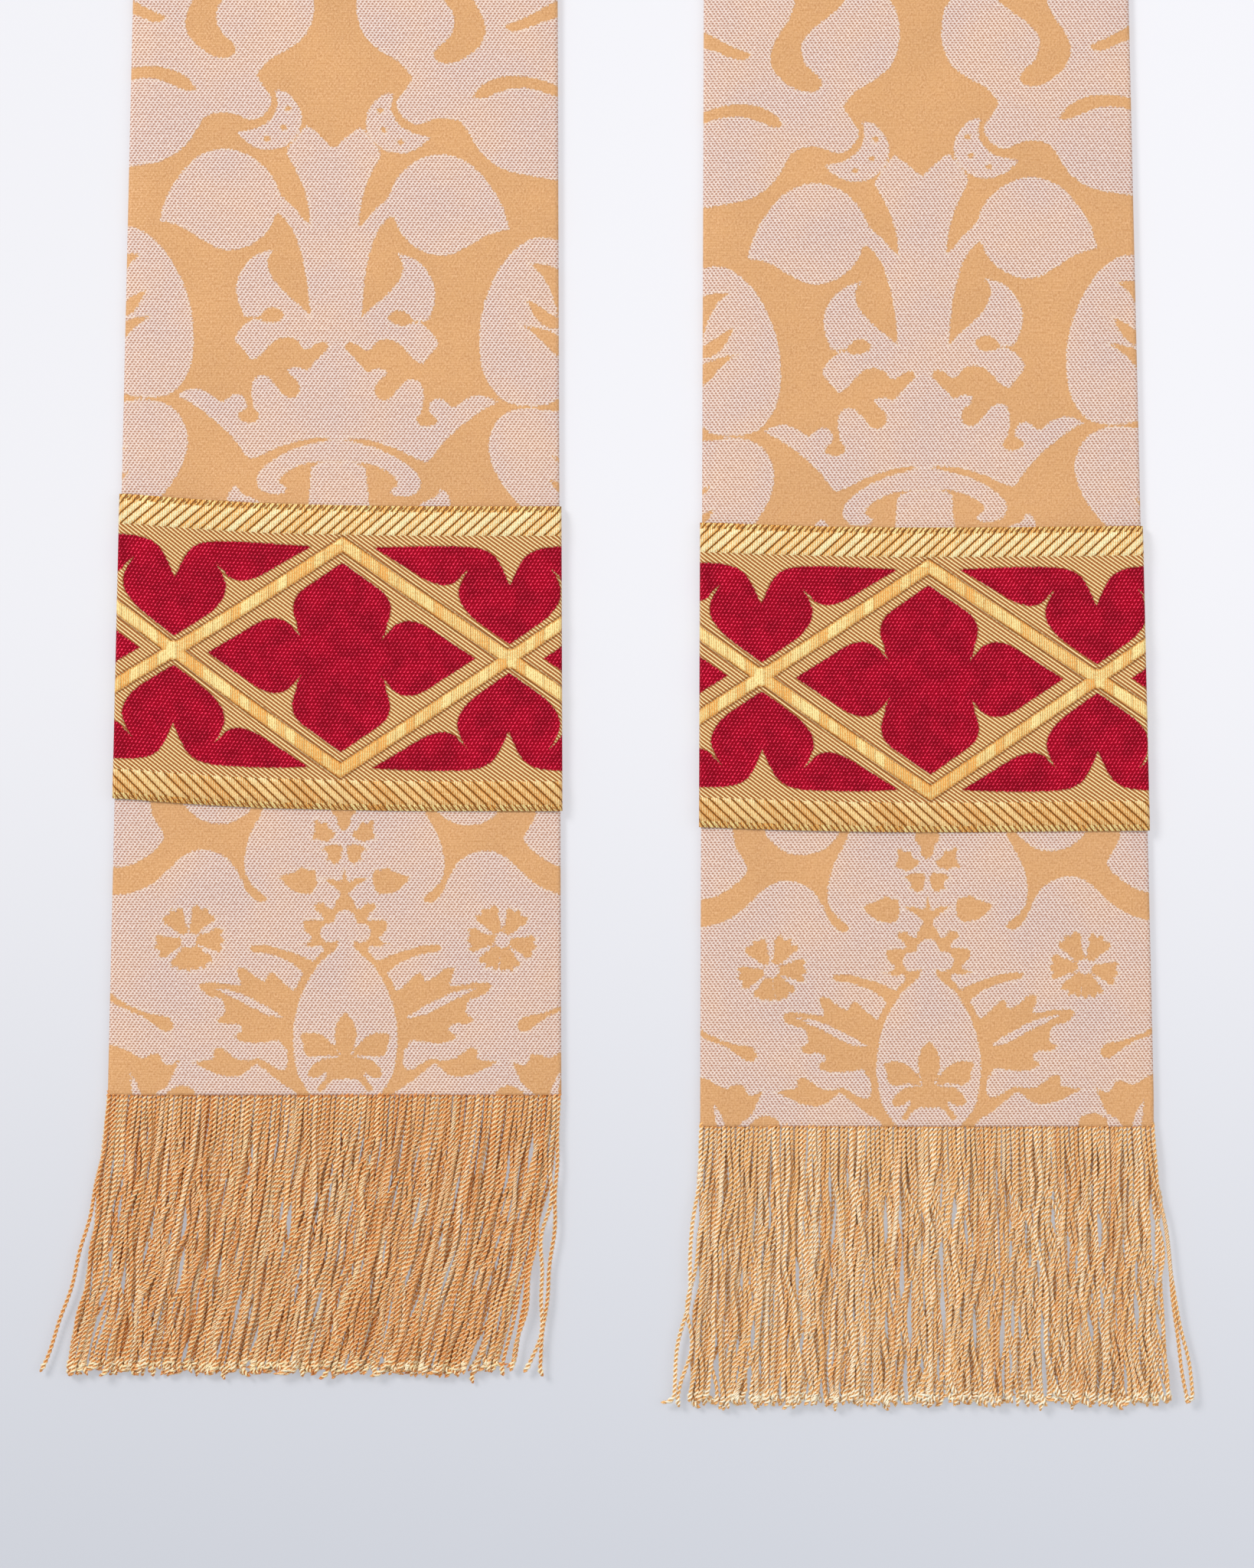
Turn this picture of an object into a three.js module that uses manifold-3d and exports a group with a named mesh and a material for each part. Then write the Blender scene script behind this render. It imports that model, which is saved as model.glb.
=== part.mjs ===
// A priest's stole, laid out flat and face up, in millimetres.
// +Z is up, +Y runs from the fringed ends towards the neck, and X = 0 is the neck seam.
// Each side is a lined band of damask with a braid orphrey and a cord fringe; the two sides
// meet in a seam at the back of the neck.

import * as THREE from 'three';
import * as BufferGeometryUtils from 'three/addons/utils/BufferGeometryUtils.js';
import Module from 'manifold-3d';

// The lay of the two bands
const bandLength = 1140; // from the left hem to where the neck arch springs
const hemWidth = 121;
const neckWidth = 91;
const neckRadius = 60; // inner edge of the neck arch
const gapAtHem = 37; // between the two inner edges
const gapAtKnee = 39;
const kneeHeight = 300; // the bands run almost parallel up to here, then spread to the neck
const rightDrop = 8.4; // the right end lies this much lower than the left one
const seamGap = 0.3;

// Cloth thicknesses, and the clearance between one layer and the next
const layerGap = 0.2;
const liningThickness = 0.5;
const damaskThickness = 0.5;
const interliningThickness = 0.8;
const hemTurn = 12; // damask turned under along the long edges
const liningSetBack = 3; // the lining stops this far inside the edges

// Orphrey braid, and the thread that sews it down along both of its edges
const orphreyHeight = 81;
const orphreyAboveHem = { left: 76.9, right: 79.1 }; // on the band's centre line
const orphreyTilt = { left: 1.75, right: 0.4 }; // degrees, left end higher
const orphreyThickness = 1;
const threadDiameter = 0.5;
const threadInset = 1.6; // from the braid's edge to the thread
const threadEndGap = 2;

// Fringe: the woven heading inside the hem, and the skirt of cords below it
const headingHeight = 12;
const headingThickness = 0.8;
const fringeLength = 76;
const fringeThickness = 3;
const fringeGap = 0.3;
const fringeOuterFlare = 12.5; // how far the cords spread past the hem's outer corner
const fringeInnerFlare = { left: -3.5, right: 2.5 }; // and past its inner corner

// Smoothness of the outlines
const edgeSteps = 22;
const archSteps = 12;

// The stack of layers, from the surface that the stole lies on
const damaskBottom = liningThickness + layerGap;
const pocketBottom = damaskBottom + damaskThickness;
const coreBottom = pocketBottom + layerGap;
const coreThickness = Math.max(interliningThickness, headingThickness);
const pocketTop = coreBottom + coreThickness + layerGap;
const damaskTop = pocketTop + damaskThickness;
const orphreyBottom = damaskTop + layerGap;
const orphreyTop = orphreyBottom + orphreyThickness;
const threadHeight = orphreyTop + layerGap + threadDiameter / 2;

const sides = {
  left: { sign: -1, hem: 0 },
  right: { sign: 1, hem: -rightDrop },
};

const damaskCloth = new THREE.MeshStandardMaterial({ color: 0xe0b27e, roughness: 0.55 });
const canvas = new THREE.MeshStandardMaterial({ color: 0xe9dfc8, roughness: 0.95 });
const satin = new THREE.MeshStandardMaterial({ color: 0xdcb46a, roughness: 0.4 });
const braid = new THREE.MeshStandardMaterial({ color: 0xc07a35, roughness: 0.5 });
const thread = new THREE.MeshStandardMaterial({ color: 0xd9a55a, roughness: 0.6 });
const cord = new THREE.MeshStandardMaterial({ color: 0xdeac6c, roughness: 0.5 });
const tape = new THREE.MeshStandardMaterial({ color: 0xe3c48c, roughness: 0.8 });

const wasm = await Module();
wasm.setup();

function toSolid(geometry) {
  geometry.deleteAttribute('normal');
  geometry.deleteAttribute('uv');
  const merged = BufferGeometryUtils.mergeVertices(geometry, 1e-4);
  return new wasm.Manifold(new wasm.Mesh({
    numProp: 3,
    vertProperties: merged.attributes.position.array,
    triVerts: Uint32Array.from(merged.index.array),
  }));
}

function toGeometry(solid) {
  const mesh = solid.getMesh();
  const geometry = new THREE.BufferGeometry();
  geometry.setAttribute('position', new THREE.BufferAttribute(mesh.vertProperties, 3));
  geometry.setIndex(new THREE.BufferAttribute(mesh.triVerts, 1));
  geometry.computeVertexNormals();
  return geometry;
}

// A flat sheet of the given outline between two heights
function sheet(points, bottom, top) {
  const geometry = new THREE.ExtrudeGeometry(new THREE.Shape(points), {
    depth: top - bottom,
    bevelEnabled: false,
  });
  return geometry.translate(0, 0, bottom);
}

// Distance from X = 0 to a band's inner edge; the bands are parallel-sided below y = 0
function innerEdge(y) {
  if (y < kneeHeight) {
    return THREE.MathUtils.lerp(gapAtHem, gapAtKnee, Math.max(y, 0) / kneeHeight) / 2;
  }
  const spread = THREE.MathUtils.smoothstep(y, kneeHeight, bandLength);
  return THREE.MathUtils.lerp(gapAtKnee / 2, neckRadius, spread);
}

function outerEdge(y) {
  return innerEdge(y) + THREE.MathUtils.lerp(hemWidth, neckWidth, Math.max(y, 0) / bandLength);
}

// Heights of an edge's points: every layer shares them, so that nested layers stay parallel
function edgeHeights(bottom) {
  const heights = [];
  for (let i = 0; i <= edgeSteps; i += 1) {
    heights.push(bandLength * i / edgeSteps);
  }
  return [bottom, ...heights.filter((y) => y > bottom)];
}

// A band's outline, drawn in by inset along its edges and at the seam, and ending at bottom
function bandOutline(side, inset, bottom) {
  const seam = seamGap / 2 + inset;
  const inner = neckRadius + inset;
  const outer = neckRadius + neckWidth - inset;
  const heights = edgeHeights(bottom);
  const points = heights.map((y) => [innerEdge(y) + inset, y]);
  for (let i = 1; i <= archSteps; i += 1) {
    const turn = Math.acos(seam / inner) * i / archSteps;
    points.push([inner * Math.cos(turn), bandLength + inner * Math.sin(turn)]);
  }
  for (let i = archSteps; i > 0; i -= 1) {
    const turn = Math.acos(seam / outer) * i / archSteps;
    points.push([outer * Math.cos(turn), bandLength + outer * Math.sin(turn)]);
  }
  for (const y of heights.reverse()) {
    points.push([outerEdge(y) - inset, y]);
  }
  return points.map(([x, y]) => new THREE.Vector2(side.sign * x, y));
}

// Face cloth: one sheet with its long edges and its seam edge turned under, open at the hem
function makeDamask(side) {
  const below = side.hem - 1;
  const body = toSolid(sheet(bandOutline(side, 0, side.hem), damaskBottom, damaskTop));
  const pocketOutline = bandOutline(side, damaskThickness, below);
  const pocket = toSolid(sheet(pocketOutline, pocketBottom, pocketTop));
  const backOutline = bandOutline(side, hemTurn, below);
  const back = toSolid(sheet(backOutline, damaskBottom - 1, pocketTop));
  return toGeometry(body.subtract(pocket).subtract(back));
}

function makeInterlining(side) {
  const bottom = side.hem + headingHeight + layerGap;
  const outline = bandOutline(side, damaskThickness + layerGap, bottom);
  return sheet(outline, coreBottom, coreBottom + interliningThickness);
}

function makeLining(side) {
  const outline = bandOutline(side, liningSetBack, side.hem + liningSetBack);
  return sheet(outline, 0, liningThickness);
}

// Heading tape of the fringe, in the open end of the damask's pocket
function makeHeading(side) {
  const inset = damaskThickness + layerGap;
  const top = side.hem + headingHeight;
  const corners = [
    [innerEdge(side.hem) + inset, side.hem],
    [innerEdge(top) + inset, top],
    [outerEdge(top) - inset, top],
    [outerEdge(side.hem) - inset, side.hem],
  ];
  const outline = corners.map(([x, y]) => new THREE.Vector2(side.sign * x, y));
  return sheet(outline, coreBottom, coreBottom + headingThickness);
}

// The cords as one flared skirt
function makeFringe(side, name) {
  const top = side.hem - fringeGap;
  const bottom = top - fringeLength;
  const corners = [
    [innerEdge(side.hem), top],
    [outerEdge(side.hem), top],
    [outerEdge(side.hem) + fringeOuterFlare, bottom],
    [innerEdge(side.hem) - fringeInnerFlare[name], bottom],
  ];
  const outline = corners.map(([x, y]) => new THREE.Vector2(side.sign * x, y));
  return sheet(outline, 0, fringeThickness);
}

// The height of a line across the band at x, parallel to the braid and rise above its lower edge
function braidLine(side, name, rise, x) {
  const base = side.hem + orphreyAboveHem[name];
  const centre = side.sign * (innerEdge(base) + outerEdge(base)) / 2;
  return base + rise - Math.tan(THREE.MathUtils.degToRad(orphreyTilt[name])) * (x - centre);
}

// Where that line ends, inset from the band's inner or outer edge
function braidEnd(side, name, rise, edge, inset) {
  const level = side.hem + orphreyAboveHem[name] + rise;
  const x = side.sign * (edge(level) + inset);
  return new THREE.Vector2(x, braidLine(side, name, rise, x));
}

function makeOrphrey(side, name) {
  const outline = [
    braidEnd(side, name, 0, innerEdge, 0),
    braidEnd(side, name, 0, outerEdge, 0),
    braidEnd(side, name, orphreyHeight, outerEdge, 0),
    braidEnd(side, name, orphreyHeight, innerEdge, 0),
  ];
  return sheet(outline, orphreyBottom, orphreyTop);
}

// A straight thread laid along the braid
function makeStitching(side, name, rise) {
  const start = braidEnd(side, name, rise, innerEdge, threadEndGap);
  const end = braidEnd(side, name, rise, outerEdge, -threadEndGap);
  const run = end.clone().sub(start);
  const radius = threadDiameter / 2;
  const geometry = new THREE.CylinderGeometry(radius, radius, run.length(), 8);
  geometry.rotateZ(run.angle() - Math.PI / 2);
  return geometry.translate((start.x + end.x) / 2, (start.y + end.y) / 2, threadHeight);
}

const stole = new THREE.Group();

function addPiece(name, geometry, material) {
  const mesh = new THREE.Mesh(geometry, material);
  mesh.name = name;
  stole.add(mesh);
}

for (const [name, side] of Object.entries(sides)) {
  addPiece(`damask_${name}`, makeDamask(side), damaskCloth);
  addPiece(`interlining_${name}`, makeInterlining(side), canvas);
  addPiece(`lining_${name}`, makeLining(side), satin);
  addPiece(`fringe_heading_${name}`, makeHeading(side), tape);
  addPiece(`fringe_skirt_${name}`, makeFringe(side, name), cord);
  addPiece(`orphrey_${name}`, makeOrphrey(side, name), braid);
  addPiece(`orphrey_lower_stitching_${name}`, makeStitching(side, name, threadInset), thread);
  const upperRise = orphreyHeight - threadInset;
  addPiece(`orphrey_upper_stitching_${name}`, makeStitching(side, name, upperRise), thread);
}

// The origin is at the middle of the stole, on the surface that it lies on
const box = new THREE.Box3().setFromObject(stole);
const centre = box.getCenter(new THREE.Vector3());
stole.position.set(-centre.x, -centre.y, -box.min.z);

export default stole;
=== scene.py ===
"""A priest's stole, laid flat and face up: the looks, built round the CAD frame.

Sizes are in millimetres until a mesh is made. x runs across the stole from the neck seam, y
along it from the left hem towards the neck, and z up from the surface that it lies on.
"""

import math

import bpy
import numpy as np
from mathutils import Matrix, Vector


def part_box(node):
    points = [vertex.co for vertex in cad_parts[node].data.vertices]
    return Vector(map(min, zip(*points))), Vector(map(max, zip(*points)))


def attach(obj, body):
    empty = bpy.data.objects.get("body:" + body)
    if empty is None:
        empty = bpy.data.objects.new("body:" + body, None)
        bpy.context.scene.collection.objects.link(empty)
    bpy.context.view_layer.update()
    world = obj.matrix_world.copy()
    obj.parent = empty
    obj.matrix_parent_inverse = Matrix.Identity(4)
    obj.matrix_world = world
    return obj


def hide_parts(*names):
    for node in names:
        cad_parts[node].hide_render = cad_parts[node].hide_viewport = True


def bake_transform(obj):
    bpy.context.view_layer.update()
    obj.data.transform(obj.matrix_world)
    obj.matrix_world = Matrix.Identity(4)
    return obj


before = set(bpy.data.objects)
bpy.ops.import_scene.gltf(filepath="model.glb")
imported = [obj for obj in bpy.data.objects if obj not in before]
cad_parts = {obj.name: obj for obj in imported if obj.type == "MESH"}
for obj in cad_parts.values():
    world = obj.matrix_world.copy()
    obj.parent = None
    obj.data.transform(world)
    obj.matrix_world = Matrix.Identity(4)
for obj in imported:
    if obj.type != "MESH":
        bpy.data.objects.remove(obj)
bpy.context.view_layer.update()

MM = 0.001

# ---------------------------------------------------------------- the bands, as in the CAD frame

HEM_WIDTH = 121
NECK_WIDTH = 91
NECK_RADIUS = 60
GAP_AT_HEM = 37
GAP_AT_KNEE = 39
KNEE_HEIGHT = 300
HEM_TURN = 12
LINING_SET_BACK = 3
CORE_INSET = 1.5  # of the interlining from the band's edges
CORE_SET_BACK = 13  # and from its hem
LEFT_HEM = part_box("damask_left")[0][1] / MM
RIGHT_DROP = LEFT_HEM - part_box("damask_right")[0][1] / MM
NECK_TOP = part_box("damask_left")[1][1] / MM - LEFT_HEM
BAND_LENGTH = NECK_TOP - NECK_RADIUS - NECK_WIDTH
SIDES = {"left": (-1, 0.0), "right": (1, -RIGHT_DROP)}  # sign of x, and height of the hem

# Heights of the layers, taken from the frame
DAMASK_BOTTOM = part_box("damask_left")[0][2] / MM
DAMASK_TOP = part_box("damask_left")[1][2] / MM
CORE_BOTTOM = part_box("interlining_left")[0][2] / MM
CORE_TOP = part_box("interlining_left")[1][2] / MM
ORPHREY_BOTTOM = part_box("orphrey_left")[0][2] / MM
FRINGE_LENGTH = (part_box("fringe_skirt_left")[1][1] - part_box("fringe_skirt_left")[0][1]) / MM


def smoothstep(x):
    x = np.clip(x, 0, 1)
    return x * x * (3 - 2 * x)


def inner_edge(y):
    """Distance from x = 0 to a band's inner edge."""
    low = GAP_AT_HEM + (GAP_AT_KNEE - GAP_AT_HEM) * np.clip(y, 0, KNEE_HEIGHT) / KNEE_HEIGHT
    spread = smoothstep((y - KNEE_HEIGHT) / (BAND_LENGTH - KNEE_HEIGHT))
    return low / 2 + (NECK_RADIUS - GAP_AT_KNEE / 2) * spread


def band_width(y):
    return HEM_WIDTH + (NECK_WIDTH - HEM_WIDTH) * np.clip(y, 0, BAND_LENGTH) / BAND_LENGTH


ARCH_LENGTH = math.pi / 2 * (NECK_RADIUS + NECK_WIDTH / 2)


def side_length(hem):
    """Length of a band's middle line, from a hem at this height to the neck seam."""
    return BAND_LENGTH + ARCH_LENGTH - hem


def band_point(sign, along, across):
    """Plan position of points: along the band from y = 0, and across it from its inner edge."""
    y = np.minimum(along, BAND_LENGTH)
    turn = np.clip(along - BAND_LENGTH, 0, ARCH_LENGTH) / ARCH_LENGTH * math.pi / 2
    reach = inner_edge(y) + across
    return sign * reach * np.cos(turn), y + reach * np.sin(turn)


# ---------------------------------------------------------------- small helpers


def noise_wave(x, y, seed, size):
    """Smooth pseudo-random ripples between about -1 and 1, with features of the given size."""
    rng = np.random.default_rng(seed)
    waves = 7
    total = 0
    for _ in range(waves):
        heading, phase = rng.uniform(0, 2 * math.pi, 2)
        pitch = size * rng.uniform(0.7, 1.6)
        run = x * math.cos(heading) + y * math.sin(heading)
        total = total + np.sin(2 * math.pi * run / pitch + phase)
    return total / (waves / 2)


def grid_faces(rows, columns):
    """Quads of a grid of points that is stored row by row."""
    first = np.arange(rows - 1)[:, None] * columns + np.arange(columns - 1)[None]
    first = first.ravel()
    return np.stack([first, first + 1, first + columns + 1, first + columns], 1)


def make_piece(name, points, faces, material, caps=None, floats=None, uvs=None):
    """A mesh object from points in millimetres above the left hem, quads and end caps."""
    loops = faces.ravel()
    starts = np.arange(len(faces)) * 4
    if caps is not None:
        starts = np.concatenate([starts, len(loops) + np.arange(len(caps)) * caps.shape[1]])
        loops = np.concatenate([loops, caps.ravel()])
    mesh = bpy.data.meshes.new(name)
    points = (points.reshape(-1, 3) + [0, LEFT_HEM, 0]) * MM
    mesh.vertices.add(len(points))
    mesh.vertices.foreach_set("co", points.ravel())
    mesh.loops.add(len(loops))
    mesh.loops.foreach_set("vertex_index", loops.astype(np.int32))
    mesh.polygons.add(len(starts))
    mesh.polygons.foreach_set("loop_start", starts.astype(np.int32))
    mesh.update(calc_edges=True)
    mesh.shade_smooth()
    for key, values in (floats or {}).items():
        attribute = mesh.attributes.new(key, "FLOAT", "POINT")
        attribute.data.foreach_set("value", np.asarray(values, np.float32).ravel())
    for key, values in (uvs or {}).items():
        values = np.asarray(values, np.float32).reshape(-1, 2)
        if len(values) == len(points):
            values = values[loops]
        layer = mesh.uv_layers.new(name=key)
        layer.uv.foreach_set("vector", values.ravel())
    mesh.materials.append(material)
    piece = bpy.data.objects.new(name, mesh)
    bpy.context.scene.collection.objects.link(piece)
    return piece


def stacked(*parts):
    """Arrays of x, y and z, or of the two cloth coordinates, joined into one array."""
    return np.stack(np.broadcast_arrays(*parts), -1)


# ---------------------------------------------------------------- material nodes


def linear(red, green, blue):
    """A colour given in 0 to 255 as seen on a screen."""
    seen = [c / 255 for c in (red, green, blue)]
    return [c / 12.92 if c <= 0.04045 else ((c + 0.055) / 1.055) ** 2.4 for c in seen] + [1]


class Graph:
    """A material's nodes, with a short method for each kind that is used."""

    def __init__(self, name, **values):
        self.material = bpy.data.materials.new(name)
        self.material.use_nodes = True
        self.nodes = self.material.node_tree.nodes
        self.links = self.material.node_tree.links
        self.shader = self.nodes["Principled BSDF"]
        for socket, value in values.items():
            self.shader.inputs[socket.replace("_", " ")].default_value = value

    def put(self, socket, value):
        if isinstance(value, bpy.types.NodeSocket):
            self.links.new(value, socket)
        else:
            socket.default_value = value

    def node(self, kind, output, settings=None, **inputs):
        """An output of a new node, with the settings made and the inputs set or linked."""
        node = self.nodes.new("ShaderNode" + kind)
        for name, value in (settings or {}).items():
            setattr(node, name, value)
        for name, value in inputs.items():
            self.put(node.inputs[name.replace("_", " ")], value)
        return node.outputs[output]

    def math(self, operation, a, b=0.0, c=0.0):
        node = self.nodes.new("ShaderNodeMath")
        node.operation = operation
        for socket, value in zip(node.inputs, (a, b, c)):
            self.put(socket, value)
        return node.outputs[0]

    def times(self, a, b):
        return self.math("MULTIPLY", a, b)

    def plus(self, value, gain, base):
        """The base, plus the value times the gain."""
        return self.math("MULTIPLY_ADD", value, gain, base)

    def vary(self, value, gain, base):
        """The base, plus the gain times how far a value from 0 to 1 is from its middle."""
        return self.plus(self.math("SUBTRACT", value, 0.5), gain, base)

    def cell(self, value, size):
        """The number of the cell, of a given size, that a value lies in."""
        return self.math("FLOOR", self.math("DIVIDE", value, size))

    def wave(self, value, pitch):
        """A cosine of the value, from -1 to 1, that repeats each pitch."""
        return self.math("COSINE", self.times(value, 2 * math.pi / pitch))

    def value(self, name):
        """A value that the mesh holds at each of its points."""
        return self.node("Attribute", "Fac", {"attribute_name": name})

    def place(self):
        """Where a point lies on the object, in metres."""
        return self.node("TexCoord", "Object")

    def split(self, point):
        node = self.nodes.new("ShaderNodeSeparateXYZ")
        self.links.new(point, node.inputs[0])
        return node.outputs[0], node.outputs[1]

    def uv(self):
        """The two cloth coordinates, in millimetres across and along."""
        return self.split(self.node("UVMap", "UV", {"uv_map": "Cloth"}))

    def point(self, x, y, z=0.0):
        return self.node("CombineXYZ", "Vector", X=x, Y=y, Z=z)

    def noise(self, point, scale, detail=2.0):
        return self.node("TexNoise", "Fac", Vector=point, Scale=scale, Detail=detail)

    def random(self, point):
        return self.node("TexWhiteNoise", "Value", Vector=point)

    def ramp(self, value, low, high):
        """0 below low, 1 above high and smooth between."""
        smooth = {"interpolation_type": "SMOOTHSTEP"}
        return self.node("MapRange", "Result", smooth, Value=value, From_Min=low, From_Max=high)

    def mix(self, amount, a, b, blend="MIX"):
        kind = {"data_type": "RGBA", "blend_type": blend}
        return self.node("Mix", "Result", kind, Factor=amount, A=a, B=b)

    def tint(self, colour, gain):
        """The colour, with its brightness multiplied by a value."""
        return self.mix(1.0, colour, self.point(gain, gain, gain), "MULTIPLY")

    def bump(self, height, depth_mm):
        """A bump whose height of 1 stands for depth_mm."""
        bumped = self.node("Bump", "Normal", Strength=1.0, Distance=depth_mm * MM, Height=height)
        self.put(self.shader.inputs["Normal"], bumped)

    def colour(self, value):
        self.put(self.shader.inputs["Base Color"], value)

    def roughness(self, value):
        self.put(self.shader.inputs["Roughness"], value)


END_PITCH = 0.40  # from one thread to the next, across the band
PICK_PITCH = 0.42  # and along it
WEAVE_ROW = 0.64  # from one row of dashes in the pale figure to the next
DASH_PITCH = 1.04
DASH_SHIFT = 0.44  # how far the dashes of one row lie past those of the row below


def damask_material():
    """Satin gold ground with a matt figure, whose outline steps from thread to thread."""
    g = Graph("damask_cloth", Sheen_Weight=0.08, Specular_IOR_Level=0.35)
    across, along = g.uv()
    spot = g.point(across, along)
    thread = g.random(g.point(g.cell(across, END_PITCH), g.cell(along, PICK_PITCH)))
    edge = g.vary(thread, 0.5, g.value("figure"))
    light = g.ramp(edge, -0.07, 0.07)
    patch = g.noise(spot, 0.045, 3.0)
    mottle = g.noise(spot, 0.35)
    grain = g.noise(g.point(g.times(across, 1.4), along), 1.5)
    # The figure is a plain weave: short pale dashes in rows, each row a little further on.
    shift = g.times(g.cell(along, WEAVE_ROW), DASH_SHIFT)
    dashes = g.wave(g.math("ADD", across, shift), DASH_PITCH)
    weave = g.plus(dashes, 0.6, g.times(g.wave(along, WEAVE_ROW), 0.5))
    dash = g.ramp(g.vary(grain, 2.0, weave), -0.95, 0.95)
    pale = g.mix(dash, linear(182, 130, 108), linear(250, 234, 226))
    warm = g.mix(dash, linear(184, 132, 102), linear(250, 227, 210))
    pale = g.mix(g.ramp(patch, 0.30, 0.75), pale, warm)
    # A broken pale line runs just inside the figure's outline.
    past = g.math("ABSOLUTE", g.math("SUBTRACT", edge, 0.28))
    rim = g.math("SUBTRACT", 1.0, g.ramp(past, 0.05, 0.32))
    rim = g.times(rim, g.ramp(g.wave(along, 2 * PICK_PITCH), -0.4, 0.5))
    pale = g.mix(g.times(rim, 0.5), pale, linear(250, 228, 204))
    gold = g.mix(g.ramp(grain, 0.28, 0.72), linear(204, 147, 92), linear(232, 180, 128))
    gold = g.mix(g.times(g.ramp(mottle, 0.3, 0.7), 0.5), gold, linear(222, 168, 112))
    g.colour(g.tint(g.mix(light, gold, pale), g.vary(patch, 0.2, 1.0)))
    g.roughness(g.plus(light, 0.22, 0.40))
    relief = g.plus(light, 0.5, g.times(dash, 0.5))
    g.bump(g.plus(grain, 0.35, relief), 0.10)
    return g.material


# The braid, from the middle of a diamond and from its own middle line
CELL = 44.7  # half the length of a diamond
BAR_APEX = 30.2  # and half its height
BAR_HALF = 1.62
KNOT_WIDE = 2.7  # half the block of stitches where two bars cross
KNOT_HIGH = 2.5
ROW_INNER = 32.7  # an edge row's inner side
ROW_OUTER = 38.9
BRAID_HALF = 40.6
ROW_PITCH = 3.05
ROW_LEAN = 1.08  # how far the lines of the edge rows lean as they go out
LOOP_LEAN = 0.8
BRAID_THREAD = 0.34
RIB_WAY = (0.584, 0.811)  # across the ribs of the gold ground
RIB_PITCH = 0.86
BAR_BLOCK = 2.45  # length of a block of stitches on a bar


def ribbed_gold(g, across, along, grain, outlined):
    """Fine cords that lie along one pair of bars, with painted highlights on their crests and
    painted shade in the brown grooves, and brown round the shapes.
    """
    ribs = g.plus(across, RIB_WAY[0], g.times(along, RIB_WAY[1]))
    nicks = g.plus(across, RIB_WAY[1], g.times(along, -RIB_WAY[0]))
    ribs = g.plus(g.wave(nicks, 0.9), 0.12, g.wave(ribs, RIB_PITCH))
    # Painted highlight and shade: the ribs are lighter on their crests and brown in their grooves.
    rib = g.ramp(g.vary(grain, 0.9, ribs), -0.65, 0.75)
    ribbed = g.mix(rib, linear(176, 100, 46), linear(255, 228, 168))
    return rib, g.mix(g.times(outlined, 0.7), ribbed, linear(140, 82, 34))


def crimson_ground(g, across, along, grain, mottle):
    """A twill with small paler flecks."""
    twill = g.wave(g.plus(along, -0.62, across), 1.0)
    dots = g.plus(g.wave(along, 0.9), 0.5, twill)
    fleck = g.ramp(g.vary(grain, 2.8, dots), 0.4, 1.2)
    crimson = g.mix(fleck, linear(142, 0, 26), linear(250, 56, 92))
    return fleck, g.tint(crimson, g.plus(g.ramp(mottle, 0.3, 0.7), 0.34, 0.84))


def bar_stitches(g, across, along, thread, stitches, bar_edge):
    """Upright satin stitches in blocks, with a thin brown line between blocks. Painted sheen makes
    some blocks and the middle of each stitch brighter, and painted shade darkens the bar's sides.
    """
    place = g.cell(g.vary(thread, 0.5, across), BAR_BLOCK)
    blocks = g.random(g.point(place, g.cell(along, 30.0)))
    shine = g.ramp(g.vary(blocks, 0.6, stitches), -0.1, 1.0)
    bright = g.mix(shine, linear(240, 164, 76), linear(255, 238, 168))
    # Painted shade: the bar is darker towards its sides.
    gold = g.mix(g.ramp(bar_edge, -0.05, 0.6), linear(224, 152, 70), bright)
    parting = g.ramp(g.wave(across, 2 * BAR_BLOCK), 0.94, 1.0)
    return shine, bright, g.mix(g.times(parting, 0.3), gold, linear(176, 112, 50))


def edge_rows(g, across, along, height, grain, stitches):
    """Bright gold crossed by brown diagonal lines that lean out from the middle. Between the lines,
    each row is painted from shade to light, as painted shading of its rounded stitches.
    """
    lean = g.plus(height, -ROW_LEAN, across)
    line = g.ramp(g.wave(g.vary(grain, 0.5, lean), ROW_PITCH), 0.74, 0.95)
    # Painted shade and light: each row is darker next to the lines and lighter between them.
    painted_puff_shading = g.random(g.point(g.cell(lean, ROW_PITCH), g.math("SIGN", along)))
    painted_puff_shading = g.plus(g.wave(lean, ROW_PITCH), -0.25, g.vary(painted_puff_shading, 0.4, stitches))
    # The lower edge row is a little deeper in tone than the upper one.
    lower = g.ramp(along, -31.0, -35.0)
    shade = g.mix(lower, linear(242, 172, 84), linear(220, 148, 72))
    light = g.mix(lower, linear(255, 246, 196), linear(252, 218, 154))
    row = g.mix(g.ramp(painted_puff_shading, 0.0, 1.0), shade, light)
    return line, g.mix(line, row, linear(146, 90, 36))


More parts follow.
